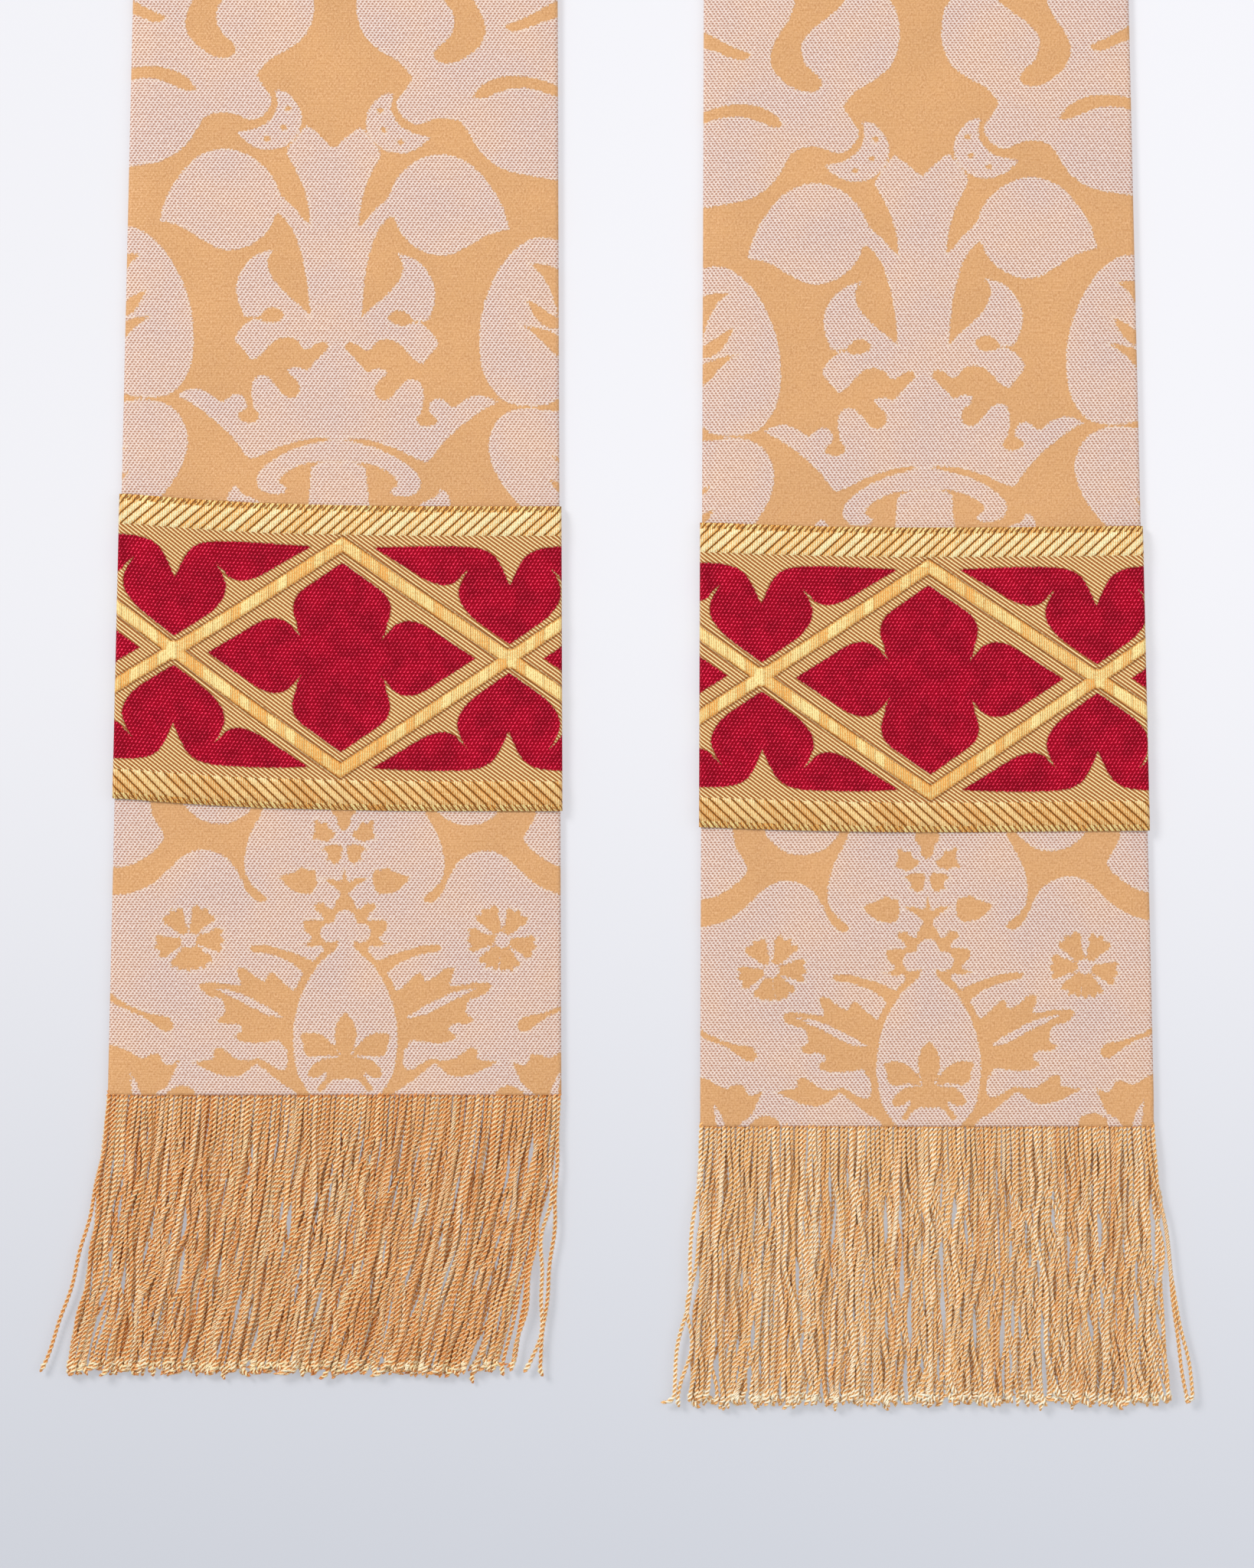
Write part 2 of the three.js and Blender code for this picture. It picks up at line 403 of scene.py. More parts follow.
def orphrey_material():
    """Woven braid: crimson grounds, fine ribbed gold, bright gold bars and edge rows."""
    g = Graph("orphrey_braid", Specular_IOR_Level=0.06)
    across, along = g.uv()
    height = g.math("ABSOLUTE", along)
    thread = g.random(g.point(g.cell(across, BRAID_THREAD), g.cell(along, BRAID_THREAD)))
    red_edge = g.vary(thread, 0.3, g.value("red"))
    bar_edge = g.vary(thread, 0.25, g.value("bar"))
    red = g.ramp(red_edge, -0.08, 0.08)
    bar = g.ramp(bar_edge, -0.1, 0.1)
    grain = g.noise(g.point(across, along), 1.7)
    mottle = g.noise(g.point(across, along), 0.16, 3.0)
    # Painted highlight: each stitch is a little lighter along its middle, with some grain.
    stitches = g.plus(g.wave(across, 0.62), 0.3, grain)
    # A brown thread runs round the bars and the crimson.
    beside_bar = g.ramp(g.math("ABSOLUTE", g.math("ADD", bar_edge, 0.3)), 0.3, 0.12)
    beside_red = g.ramp(g.math("ABSOLUTE", g.math("ADD", red_edge, 0.15)), 0.22, 0.06)
    outlined = g.math("MAXIMUM", beside_bar, g.times(beside_red, 0.7))
    rib, ribbed = ribbed_gold(g, across, along, grain, outlined)
    fleck, crimson = crimson_ground(g, across, along, grain, mottle)
    shine, bright, bar_gold = bar_stitches(g, across, along, thread, stitches, bar_edge)
    line, row = edge_rows(g, across, along, height, grain, stitches)
    in_row = g.ramp(height, ROW_INNER - 0.15, ROW_INNER + 0.15)
    # Selvedge: a row of small loops with a brown dash between
    loop = g.wave(g.plus(height, -LOOP_LEAN, across), ROW_PITCH / 2)
    selvedge = g.mix(g.ramp(loop, -0.1, 0.7), bright, linear(156, 98, 44))
    in_selvedge = g.ramp(height, ROW_OUTER - 0.1, ROW_OUTER + 0.2)
    cloth = g.mix(red, ribbed, crimson)
    cloth = g.mix(bar, cloth, bar_gold)
    cloth = g.mix(in_row, cloth, row)
    cloth = g.mix(in_selvedge, cloth, selvedge)
    g.colour(g.tint(cloth, g.plus(mottle, 0.14, 0.96)))
    gold_only = g.math("SUBTRACT", 1.0, red)
    g.roughness(g.plus(gold_only, -0.27, 0.62))
    g.put(g.shader.inputs["Metallic"], g.times(gold_only, 0.12))
    weave = g.mix(red, rib, g.times(fleck, 0.7))
    weave = g.mix(g.math("MAXIMUM", bar, in_row), weave, shine)
    g.bump(g.plus(g.times(line, in_row), -0.9, weave), 0.22)
    return g.material


def cord_material():
    """Two-ply cord, with painted shade down in the twist and painted highlights on its crests."""
    g = Graph("fringe_cord", Specular_IOR_Level=0.8)
    tone = g.value("tone")
    fibre = g.noise(g.place(), 2600)
    # Painted highlight on the crests of the twist, and painted shade in its creases and under the
    # hem.
    painted_light_and_shade = g.ramp(g.vary(fibre, 0.9, g.value("ply")), -0.85, 0.9)
    deep = g.mix(painted_light_and_shade, linear(236, 150, 72), linear(255, 232, 176))
    pale = g.mix(painted_light_and_shade, linear(255, 197, 122), linear(255, 246, 220))
    g.colour(g.mix(tone, deep, pale))
    g.roughness(g.plus(tone, 0.06, 0.27))
    g.bump(fibre, 0.06)
    return g.material


def woven_material(name, dark, bright, pitch, shine):
    """A plain cloth of two tones, for the pieces inside and behind."""
    g = Graph(name)
    across, along = g.uv()
    spot = g.point(across, along)
    threads = g.times(g.wave(across, pitch), g.wave(along, pitch))
    fine = g.ramp(g.vary(g.noise(spot, 0.9), 1.4, threads), -1.0, 1.0)
    patch = g.noise(spot, 0.03, 3.0)
    g.colour(g.tint(g.mix(fine, dark, bright), g.plus(patch, 0.24, 0.88)))
    g.roughness(g.plus(fine, 0.12, shine))
    g.bump(fine, 0.07)
    return g.material


# ---------------------------------------------------------------- the woven figure


CURVE_STEPS = 6  # stretches from one point of an outline to the next


def outline(points):
    """A closed smooth curve through the points. A third value marks a sharp corner."""
    place = [np.array(p[:2], float) for p in points]
    sharp = [len(p) > 2 for p in points]
    count = len(points)
    curve = []
    for i in range(count):
        a, b = place[i], place[(i + 1) % count]
        before = a if sharp[i] else place[i - 1]
        after = b if sharp[(i + 1) % count] else place[(i + 2) % count]
        for t in np.arange(CURVE_STEPS) / CURVE_STEPS:
            start, finish = (b - before) / 2, (after - a) / 2
            curve.append(
                a * (1 - t) ** 2 * (1 + 2 * t)
                + b * t * t * (3 - 2 * t)
                + start * t * (1 - t) ** 2
                - finish * t * t * (1 - t)
            )
    return np.array(curve)


def inside_distance(curve, x, y):
    """Distance to a closed curve, positive inside it."""
    nearest = np.full(x.shape, 1e9)
    inside = np.zeros(x.shape, bool)
    for a, b in zip(curve, np.roll(curve, -1, 0)):
        run = b - a
        length = max(run @ run, 1e-12)
        t = np.clip(((x - a[0]) * run[0] + (y - a[1]) * run[1]) / length, 0, 1)
        nearest = np.minimum(nearest, (x - a[0] - t * run[0]) ** 2 + (y - a[1] - t * run[1]) ** 2)
        if a[1] != b[1]:
            crosses = (a[1] > y) != (b[1] > y)
            inside ^= crosses & (x < a[0] + (y - a[1]) * run[0] / run[1])
    return np.sqrt(nearest) * np.where(inside, 1, -1)


C = True  # marks a corner in an outline

# Half outlines of the figure, in millimetres from its axis and above the hem. Each is mirrored.
TREE = [
    (0, 252.3, C), (3.7, 255.8), (7.2, 258.4, C), (10, 255), (12.4, 251.2), (10.3, 246.8),
    (8.2, 242), (6.9, 237), (6.3, 231.6, C), (8.2, 233.2), (10.8, 236.4), (14.2, 239.6),
    (16, 243.6), (18.6, 247), (23, 250.1), (28.5, 251.6), (33.5, 250.6), (38, 247.8),
    (42, 243), (45, 237.6), (46.6, 232, C), (41, 230.6), (36, 227.6), (31, 225),
    (26, 224.8), (21, 227), (17.3, 230.8), (15.6, 234.6), (13.6, 233.5), (11.3, 230.5),
    (9.6, 226), (8.3, 221), (7.3, 214), (6.8, 207.3, C), (9.3, 210), (13, 213.2),
    (16.5, 217), (18, 220.4), (17.6, 223.3), (15.5, 224.9, C), (18.8, 224.4), (22.5, 222.4),
    (25.2, 219), (26.5, 215.4), (26.1, 211.4), (24.6, 207.4), (23, 206, C), (25.5, 203.8),
    (27.3, 201, C), (25, 198.3), (22.8, 195.3, C), (20.4, 196.8), (18.3, 199.2), (16, 201.1),
    (13, 201.8), (10.3, 200.8), (9, 199), (7.4, 198.8), (5.6, 200.2), (3, 200.9), (0, 201.1),
]
LEAF_HOLE = [
    (13.8, 207.6), (15.3, 209.3), (17.6, 209.6), (19.6, 208.3), (20.8, 207.1), (24.8, 206.9),
    (24.8, 206.1), (20.6, 206.3), (18.6, 205.6), (15.6, 205.9),
]
CROWN = [
    (0, 198.9), (3.4, 197.8), (6, 195.2), (8, 193.1), (10.5, 194), (13.4, 193.4, C),
    (12.3, 191.6), (10.4, 190), (10, 187.6), (11.5, 185.8), (14, 186.1), (16.2, 188.6),
    (18.2, 190.8), (20.5, 191.4), (22.4, 190), (23, 187), (22.7, 184.4), (22.2, 182.6),
    (21, 181), (21.6, 179.3), (23.8, 178.8), (26.2, 179.6), (26.2, 181.3), (24.5, 182.4),
    (24.3, 184), (25.4, 185.9), (27.4, 186.3), (29.4, 185), (31, 184.2), (33.5, 186),
    (37, 187.4), (40.4, 187), (42.8, 185.6, C), (39, 183.8), (35, 180.9), (31, 177.6),
    (28, 174.6), (25.5, 171.2), (23.6, 169.1, C), (20, 170.5), (15, 172.8), (9, 174.6),
    (3, 175.4), (0, 175.5),
]
COLLAR = [
    (0, 174.3), (6, 173.8), (12, 172), (17, 169.3), (20.5, 166.5), (21.9, 163.8), (21, 161.3),
    (18.6, 160.1), (15.6, 160), (13.4, 161.2, C), (15.2, 162.6), (15.9, 163.6), (14.6, 165.4),
    (12, 167), (9, 168.2), (5, 168.9), (0, 169.2),
]
PEDESTAL = [
    (0, 167.4), (7.4, 167.4, C), (7.6, 163), (8.3, 157), (10.5, 151), (15, 147), (17, 143.5),
    (12, 142), (6, 144), (0, 145),
]
CRESCENT = [
    (16, 267.7, C), (12.9, 267), (10.1, 264.3), (8.6, 260.8), (9.2, 257), (11.2, 254),
    (14.5, 252), (18.5, 251.6), (22.5, 253), (25.9, 256.1, C), (21, 257.2), (18, 258.7),
    (16, 261.2), (15.1, 264.3),
]
UPPER_LEAF = [
    (13.5, 303.6), (8.5, 300), (6.2, 296), (5.6, 291), (5.9, 287.5), (7, 284), (9, 281.2),
    (13, 278.2), (17.5, 275.6), (20.9, 271.7, C), (18.9, 268.5), (16.8, 265.4), (17.3, 262.7),
    (19.6, 260.3), (22.5, 259.4), (26, 260.7), (30, 261.3), (34, 260.1), (36.2, 257.2),
    (38.2, 253.8), (41.5, 250.4), (46, 247.8), (52, 246.6), (60, 245.6), (74, 245, C),
    (74, 312, C), (40, 312, C), (34, 305), (26, 302), (18, 301.5),
]
UPPER_HOOK = [
    (24, 304), (20, 300.5), (23.5, 296.5), (28, 293.2), (31.2, 289.6), (31.7, 286.2),
    (30.4, 282.8), (27.6, 280.2), (26.3, 278), (28.2, 276), (32.5, 276.3), (36.8, 279),
    (39.4, 282.3), (40, 286), (38.4, 290.2), (35.2, 295), (33.4, 300), (33, 306),
]
UPPER_DASH = [
    (45, 286.3, C), (49, 287.9), (54, 290.4), (60, 293.6), (60, 289.6), (54, 287), (49, 285),
    (46.5, 285),
]
UPPER_ARC = [
    (36.6, 267, C), (39.2, 270.2), (43, 272.2), (47.5, 273), (53, 272.6), (60, 270.5),
    (72, 266, C), (72, 263, C), (60, 267.6), (53, 269.6), (48, 269.7), (43, 268.2),
    (39.5, 266.8),
]
SIDE_PETAL = [
    (44.6, 186), (41.2, 189.3), (38.9, 194), (38.1, 200), (38.4, 207), (39.8, 213),
    (42.3, 219), (45.5, 224), (49.5, 228), (54, 230), (60, 229.5), (74, 227, C), (74, 187, C),
    (60, 187.4), (56.5, 185.6), (50, 185),
]
SIDE_SLITS = [
    [(51.6, 222.9, C), (56, 222.9), (62, 220.5), (74, 214, C), (74, 204, C), (61, 207.5),
     (58.6, 212), (57, 216.5), (54.6, 220.4)],
    [(50.5, 213.6, C), (54, 211.8), (58.5, 209), (62, 208, C), (58.5, 205.8), (54.5, 207.2),
     (52.2, 210.2)],
    [(48.8, 206.6, C), (52.6, 206.2), (57, 204.8), (62, 203, C), (62, 196.5, C), (57.6, 199.4),
     (54.6, 202.6), (51.8, 205)],
]
LOWER_PETAL = [
    (74, 183.5, C), (58, 183.7), (51, 184.3), (46, 183.4), (42.5, 180.8), (40.4, 176.5),
    (40.2, 172.5), (41.2, 168.5), (43, 164.8), (46, 160.5), (50, 156.5), (56, 154),
    (74, 153, C),
]
PETAL_NICKS = [
    [(56.5, 172, C), (60, 170.6), (64, 168), (60, 168.6)],
    [(56, 165.4, C), (60, 163.8), (64, 160), (58.6, 162)],
]
SMALL_LEAF = [
    (20.5, 156.5), (23, 158.8), (25.8, 160), (27.2, 162.2, C), (29, 160.6), (29.6, 157.6),
    (27, 154), (23, 153.4),
]
ROSE = [
    (0, 138), (4, 136.5), (7.5, 132), (13, 131.5), (15.5, 126.5), (12, 122), (13, 116.5),
    (8, 113.5), (4, 109), (0, 107.5),
]
ROSE_LEAF = [
    (24, 150, C), (31, 146), (36, 139), (35.5, 130), (30, 122), (23.5, 118, C), (25.5, 126),
    (22, 134), (20, 142),
]
SIDE_FAN = [
    (74, 146, C), (60, 144), (53, 138), (48, 129), (46, 119), (49, 109), (55, 104), (62, 102),
    (74, 101, C),
]
BELL_GROUND = [
    (0, 105, C), (0, 98, C), (8, 96.5), (14.5, 91), (18, 84.5), (20, 79.5), (22, 75),
    (24.5, 70.5), (26.2, 65.5), (26.7, 61), (25.7, 57.4), (23.4, 54.8), (21, 52.8),
    (21.7, 51.5), (23.9, 51.9), (26, 54.2), (27.6, 57.5), (29.2, 60.7), (32, 63.6),
    (36, 65.2), (40, 65.1), (43.8, 63), (47.2, 59.8), (51, 56.5), (55.5, 54.3), (61, 53.3),
    (74, 52.5, C), (74, 60, C), (60, 60.7), (55.5, 61.9), (51, 64.8), (48, 68.4), (49.2, 71.4),
    (51, 74.5), (52.2, 80), (56, 87), (62, 92), (74, 94, C), (74, 105, C),
]
HALF_ROUND = [
    (33.4, 72.2), (29.4, 72.8), (25.9, 74.9), (23.4, 78), (22.6, 82), (25, 87), (30, 90.5),
    (36, 90.5), (41.5, 87), (44, 82), (43, 78), (41.2, 75.8), (38, 73.2),
]
PINK_TOP = [(0, 71.2), (1.5, 71.8), (2, 74.3), (3.3, 75.6), (2.6, 78.5), (0, 79.5)]
PINK_UPPER = [
    (1.9, 69.8, C), (3.9, 71.2), (4.8, 72.9), (6.4, 72.4), (7, 73.5), (8.2, 73.3, C),
    (7.7, 70.7), (8.9, 68, C), (7, 68.3), (5.6, 67.6), (3.4, 68.3),
]
PINK_LOWER = [
    (0.8, 66.5), (3, 66.9), (5, 66.5), (6.6, 65.6, C), (4.9, 65), (4.4, 63.7), (5.1, 62.6, C),
    (3.6, 62.5), (2.9, 61.6), (1.6, 62.2), (0.8, 64),
]
PINK_STEM = [(0, 60.4), (0.6, 58), (1.1, 56.9), (3.6, 57.9), (6.6, 57.9, C), (3.6, 56.2),
             (1.6, 54.4), (0, 53.4)]
HEART_LEAF = [
    (8, 59.9), (9.6, 60), (11.3, 60.8), (12.8, 59.8), (14.6, 59.2), (17.6, 58.2, C),
    (16.2, 56.6), (14.4, 54.9), (11.6, 53.9), (8.8, 54), (7.5, 56.6),
]
CORONET = [
    (0, 53.4), (2.4, 51.7), (3.1, 49.7), (4.9, 50.2), (5.6, 51.3), (8, 51.1, C), (8.1, 49.8),
    (6.4, 48.4), (5.9, 46.7), (8.3, 46.8), (11.1, 46.5, C), (11.2, 44.9), (10.4, 43.4),
    (8.9, 42), (9.8, 40.9), (12.3, 40.3, C), (9, 39.6), (6.6, 39.9), (5, 38.2), (0, 40.4),
]
CORONET_HEART = [
    (0, 49), (2.3, 48.2), (3.3, 46), (5.2, 45.7), (6.8, 44), (6.2, 41.9), (5.2, 40.9),
    (3.1, 40.9), (0, 42),
]
DROP_BORDER = [
    (0, 42, C), (3, 40.8), (5.2, 39.2), (7.8, 36.6), (11, 32.6), (13.4, 28), (15.2, 22),
    (15.8, 16), (15.4, 10), (14.6, 5), (12.6, 0), (9.5, -5), (0, -9, C),
]
DROP = [
    (0, 40.3), (2.6, 38.9), (5, 36.9), (7.4, 34.6), (10.3, 30), (12.4, 25), (13.5, 20),
    (13.9, 15), (13.5, 10), (12.3, 5), (9, 0), (5, -3.5), (0, -5),
]
THIN_LEAF = [
    (8.8, 35.3), (11, 36.8), (14, 38), (18, 39.2), (22, 40.1), (25.4, 39.9, C), (24.9, 38.4),
    (21, 37.8), (17, 36.5), (13.5, 34.7), (10, 31.8),
]
ACANTHUS = [
    (10.5, 29.8), (13.6, 27.9), (17.3, 30.8), (19.2, 32.6), (20.5, 32.4), (21.4, 30.4),
    (24.3, 31.9), (26.8, 33.9), (29.1, 34, C), (28.4, 31.2), (27.8, 29.3), (31, 29.5),
    (35, 30.1), (38.6, 29.8), (38.4, 28), (35.8, 26.4), (33, 25.6), (32.3, 23.4), (32.2, 21.9),
    (34.5, 20.2, C), (32.6, 19.1), (29.6, 19.2), (27.7, 18.3), (27.8, 17), (29.8, 16, C),
    (28.2, 14.5), (24.5, 13.9), (20.5, 14.3), (17.6, 14.6), (15, 13),
]
MIDRIB = [
    (15.9, 20.6, C), (20, 23.1), (25, 25.8), (30, 27.8), (35.6, 28.7, C), (30.6, 26.3),
    (25.6, 23.9), (20.6, 21.3),
]
SCROLL = [
    (14, 9), (16, 7), (18.3, 7.2), (21, 8.9), (23.3, 9.8), (26, 9.3), (29, 9.7), (31.2, 11.3),
    (33.4, 12.7), (35.2, 12), (35.2, 9.8), (38.2, 9.3), (41.2, 8.9, C), (37.5, 7.3),
    (34.5, 5.8), (30.5, 5), (27.5, 5.6), (25.2, 7.4), (23.7, 8.7, C), (20.2, 5.8), (17, 3.3),
    (13.6, 1.1), (10.8, -1.6), (8, -6),
]
CORNER_LEAF = [
    (44.2, 9.5, C), (46.2, 8.4), (47.8, 8), (49, 9.6), (49.6, 11, C), (52, 10.9), (54, 9.9),
    (56.5, 11), (60, 12.8), (74, 17, C), (74, -10, C), (58, -9), (53, -3), (50, 0.8),
    (47.8, 2.3), (46, 5.4),
]
CORNER_RIB = [(53.6, -4), (54.9, 1.6), (57.6, 6.9, C), (56.9, 1.6), (56, -4)]
HEM_SPRIG = [(40, 0.4), (42, 2.3), (44.4, 2.5), (46.4, 1.5), (47.6, 0), (46.5, -6), (40.5, -6)]
TAIL = [
    (45.8, 18.8), (47.4, 20.9), (50.5, 21.5), (55, 22.8), (60, 25.3), (66, 30), (66, 27),
    (59.5, 23.3), (54.4, 21.2), (51, 19), (48.6, 17.2), (46.6, 17.3),
]
FLEUR = [(0, 22.4, C), (2.2, 19.4), (2.9, 16), (2.4, 13.2), (1.1, 10.6), (0, 10.4)]
FLEUR_LEAF = [
    (2, 10.9), (3.9, 14), (6.6, 16.2), (9.8, 16.7), (12, 16), (11.3, 13.8), (10.9, 11.4),
    (8.8, 10.2), (6, 10.7),
]
FLEUR_FOOT = [
    (0, 11.6), (2.5, 10), (6, 9.6), (8.5, 8.2), (9.9, 5.7), (8.6, 4.6), (6.6, 5.2), (5.4, 6.4),
    (4.9, 5.4), (6.3, 3.3), (7.6, 1.5, C), (6.2, 1), (4.6, 2.9), (2.6, 4.4), (0, 4.9),
]


FLOWER_CENTRE = (41.8, 41.4)


def side_flower():
    """Outlines of a flower of six fringed petals round a small pale eye."""
    petals = []
    for degrees, reach in ((57, 9.3), (119, 9.8), (179, 9.5), (238, 8.6), (285, 8.6), (345, 9.2)):
        petal = [(0.44, 2.2), (0.40, 6.5), (0.42, reach - 0.9), (0.30, reach), (0.18, reach - 1.2),
                 (0.05, reach + 0.4), (-0.10, reach - 1.1), (-0.26, reach + 0.2),
                 (-0.40, reach - 1.3), (-0.36, 6), (-0.44, 2.2)]
        corners = []
        for swing, radius in petal:
            angle = math.radians(degrees) + swing
            x = FLOWER_CENTRE[0] + radius * math.cos(angle)
            corners.append((x, FLOWER_CENTRE[1] + radius * math.sin(angle), C))
        petals.append(corners)
    return petals


DOTS = [(12.3, 262.8), (13.3, 257.7), (17.8, 254.6)]
DOT_WIDE = 0.95
DOT_HIGH = 0.85 * DOT_WIDE


def dot(x, y):
    angles = np.arange(8) * math.pi / 4
    return [(x + DOT_WIDE * math.cos(a), y + DOT_HIGH * math.sin(a)) for a in angles]


def pale(*shapes):
    return [(1, shape) for shape in shapes]


def gold(*shapes):
    return [(-1, shape) for shape in shapes]


# The figure is painted in this order: pale cloth is added, and gold takes it away again.
PAINT = (
    gold(BELL_GROUND)
    + pale(HALF_ROUND, ROSE, ROSE_LEAF, SIDE_FAN, PEDESTAL, SMALL_LEAF, LOWER_PETAL, SIDE_PETAL)
    + pale(COLLAR, CROWN, TREE)
    + gold(LEAF_HOLE)
    + pale(UPPER_LEAF)
    + gold(UPPER_HOOK, UPPER_DASH, UPPER_ARC)
    + pale(CRESCENT)
    + gold(*SIDE_SLITS, *PETAL_NICKS, *[dot(*place) for place in DOTS])
    + gold(PINK_TOP, PINK_UPPER, PINK_LOWER, PINK_STEM, HEART_LEAF, CORONET)
    + pale(CORONET_HEART)
    + gold(DROP_BORDER, THIN_LEAF, ACANTHUS)
    + pale(MIDRIB)
    + gold(SCROLL)
    + pale(DROP)
    + gold(FLEUR, FLEUR_LEAF, FLEUR_FOOT, CORNER_LEAF)
    + pale(CORNER_RIB)
    + gold(HEM_SPRIG, TAIL, *side_flower())
)
GROUND_FROM = 100  # the plain ground is pale below this height and gold above it
TILE_LENGTH = 308
TILE_LOW = -8
TILE_WIDTH = 72
TILE_STEP = 0.5
FAR = 4.0  # distances past this don't matter


def figure_tile():
    """Distance to the nearest outline over half of one repeat, positive in the pale cloth."""
    columns = int(TILE_WIDTH / TILE_STEP) + 1
    rows = int((TILE_LENGTH - TILE_LOW) / TILE_STEP) + 1
    x, y = np.meshgrid(np.arange(columns) * TILE_STEP, TILE_LOW + np.arange(rows) * TILE_STEP)
    tile = np.clip(GROUND_FROM - y, -FAR, FAR)
    for kind, points in PAINT:
        curve = outline(points)
        # A shape that starts on the axis carries on through it, so its straight side is moved off.
        curve[curve[:, 0] < 0.01, 0] = -FAR
        low, high = curve.min(0) - FAR, curve.max(0) + FAR
        near_x = np.flatnonzero((x[0] >= low[0]) & (x[0] <= high[0]))
        near_y = np.flatnonzero((y[:, 0] >= low[1]) & (y[:, 0] <= high[1]))
        area = np.ix_(near_y, near_x)
        distance = inside_distance(curve, x[area], y[area])
        if kind > 0:
            tile[area] = np.maximum(tile[area], distance)
        else:
            tile[area] = np.minimum(tile[area], -distance)
    return np.clip(tile, -FAR, FAR)


TILE = figure_tile()


def figure_at(u, v):
    """The tile's distance at points: u from the figure's axis, v above the hem."""
    v = np.where(v < 0, v, np.mod(v, TILE_LENGTH))
    column = np.clip(np.abs(u) / TILE_STEP, 0, TILE.shape[1] - 1.001)
    row = np.clip((v - TILE_LOW) / TILE_STEP, 0, TILE.shape[0] - 1.001)
    i, j = row.astype(int), column.astype(int)
    p, q = row - i, column - j
    near = TILE[i, j] * (1 - q) + TILE[i, j + 1] * q
    far = TILE[i + 1, j] * (1 - q) + TILE[i + 1, j + 1] * q
    return near * (1 - p) + far * p


# Where the figure's axis lies from the band's centre line, and how far the weave slants, at
# heights above the hem. Positive leans the axis to the right and lifts the right-hand side.
FIGURE_LIE = {
    "left": {"height": [0, 40, 190, 252, 330, 420], "axis": [2.9, 2.6, -1.1, -2.7, -2.4, 0],
             "slant": [0, 0, -1.35, -1.55, -1.4, 0]},
    "right": {"height": [0, 40, 165, 253, 330, 420], "axis": [0.5, 0.6, 0.9, 1.0, 1.0, 0],
              "slant": [0.5, 0.7, 1.7, 1.6, 1.4, 0]},
}
RIGHT_FIGURE_RISE = 0.8


def cloth_figure(name, along, across, width):
    """The figure's distance for points of a band, along from its own hem."""
    lie = FIGURE_LIE[name]
    sign = SIDES[name][0]
    offset = sign * (across - width / 2) - np.interp(along, lie["height"], lie["axis"])
    slant = np.tan(np.radians(np.interp(along, lie["height"], lie["slant"])))
    rise = RIGHT_FIGURE_RISE if name == "right" else 0
    return figure_at(offset, along - rise - slant * offset)


# ---------------------------------------------------------------- damask

DAMASK_SPLIT = 311  # the end of a band is one fine mesh up to here, and the rest is another
END_STEP = 0.72
REST_STEP = 1.3
END_COLUMNS = 168  # across the face, and half as many in the rest
EDGE_ROLL = 1.0  # radius of the turned edge
HEM_ROLL = 0.8
CLOTH_HALF = 0.05  # from the surface of the solid to the thin sheet inside it
FACE_Z = DAMASK_TOP - CLOTH_HALF
UNDER_Z = DAMASK_BOTTOM + 3 * CLOTH_HALF
FACE_SWELLS = ((0.22, 3, 70), (0.08, 5, 23))  # height, seed and size of the ripples in the face
EDGE_SINK = 0.25  # how far the face sinks towards its edges
HEM_PRESS = 0.62  # share of the cloth's thickness that is pressed out of the turned hem
SEAM_DIP = 0.45  # how far the face dips to the neck seam, as a share of its height over the rest
SEAM_REACH = 4
SEAM_KEEP = 0.3


def edge_profile():
    """The turned edge, from its raw end round to the face: distance in, and height."""
    angles = np.linspace(-math.pi / 2, math.pi / 2, 7)
    under = np.linspace(HEM_TURN, EDGE_ROLL + 1.2, 4)
    inset = np.concatenate([under, EDGE_ROLL * (1 - np.cos(angles))])
    roll = (FACE_Z + UNDER_Z) / 2 + (FACE_Z - UNDER_Z) / 2 * np.sin(angles)
    return inset, np.concatenate([np.full(len(under), UNDER_Z), roll])


def face_height(x, y, inset):
    """Height of the damask's face: full in the middle, softer near its edges."""
    swell = sum(height * noise_wave(x, y, seed, size) for height, seed, size in FACE_SWELLS)
    return FACE_Z + swell * smoothstep(inset / 14) - EDGE_SINK * (1 - smoothstep(inset / 5))


def bake_layout(run_across, run_along, lanes):
    """Where each corner of the faces goes when the band is cut into lanes laid side by side."""
    rows, columns = len(run_along), len(run_across)
    margin = 1.0
    lane_length = (run_along[-1] - run_along[0]) / lanes
    lane_width = run_across[-1] - run_across[0] + 2 * margin
    size = max(lane_length + 8 * margin, lane_width * lanes)
    row = np.repeat(np.arange(rows - 1), columns - 1)
    column = np.tile(np.arange(columns - 1), rows - 1)
    lane = np.minimum(((run_along[row] - run_along[0]) / lane_length).astype(int), lanes - 1)
    corners = []
    for down, right in ((0, 0), (0, 1), (1, 1), (1, 0)):
        u = run_across[column + right] - run_across[0] + lane * lane_width + margin
        v = run_along[row + down] - run_along[0] - lane * lane_length + 2 * margin
        corners.append(np.stack([u, v], 1) / size)
    return np.stack(corners, 1)


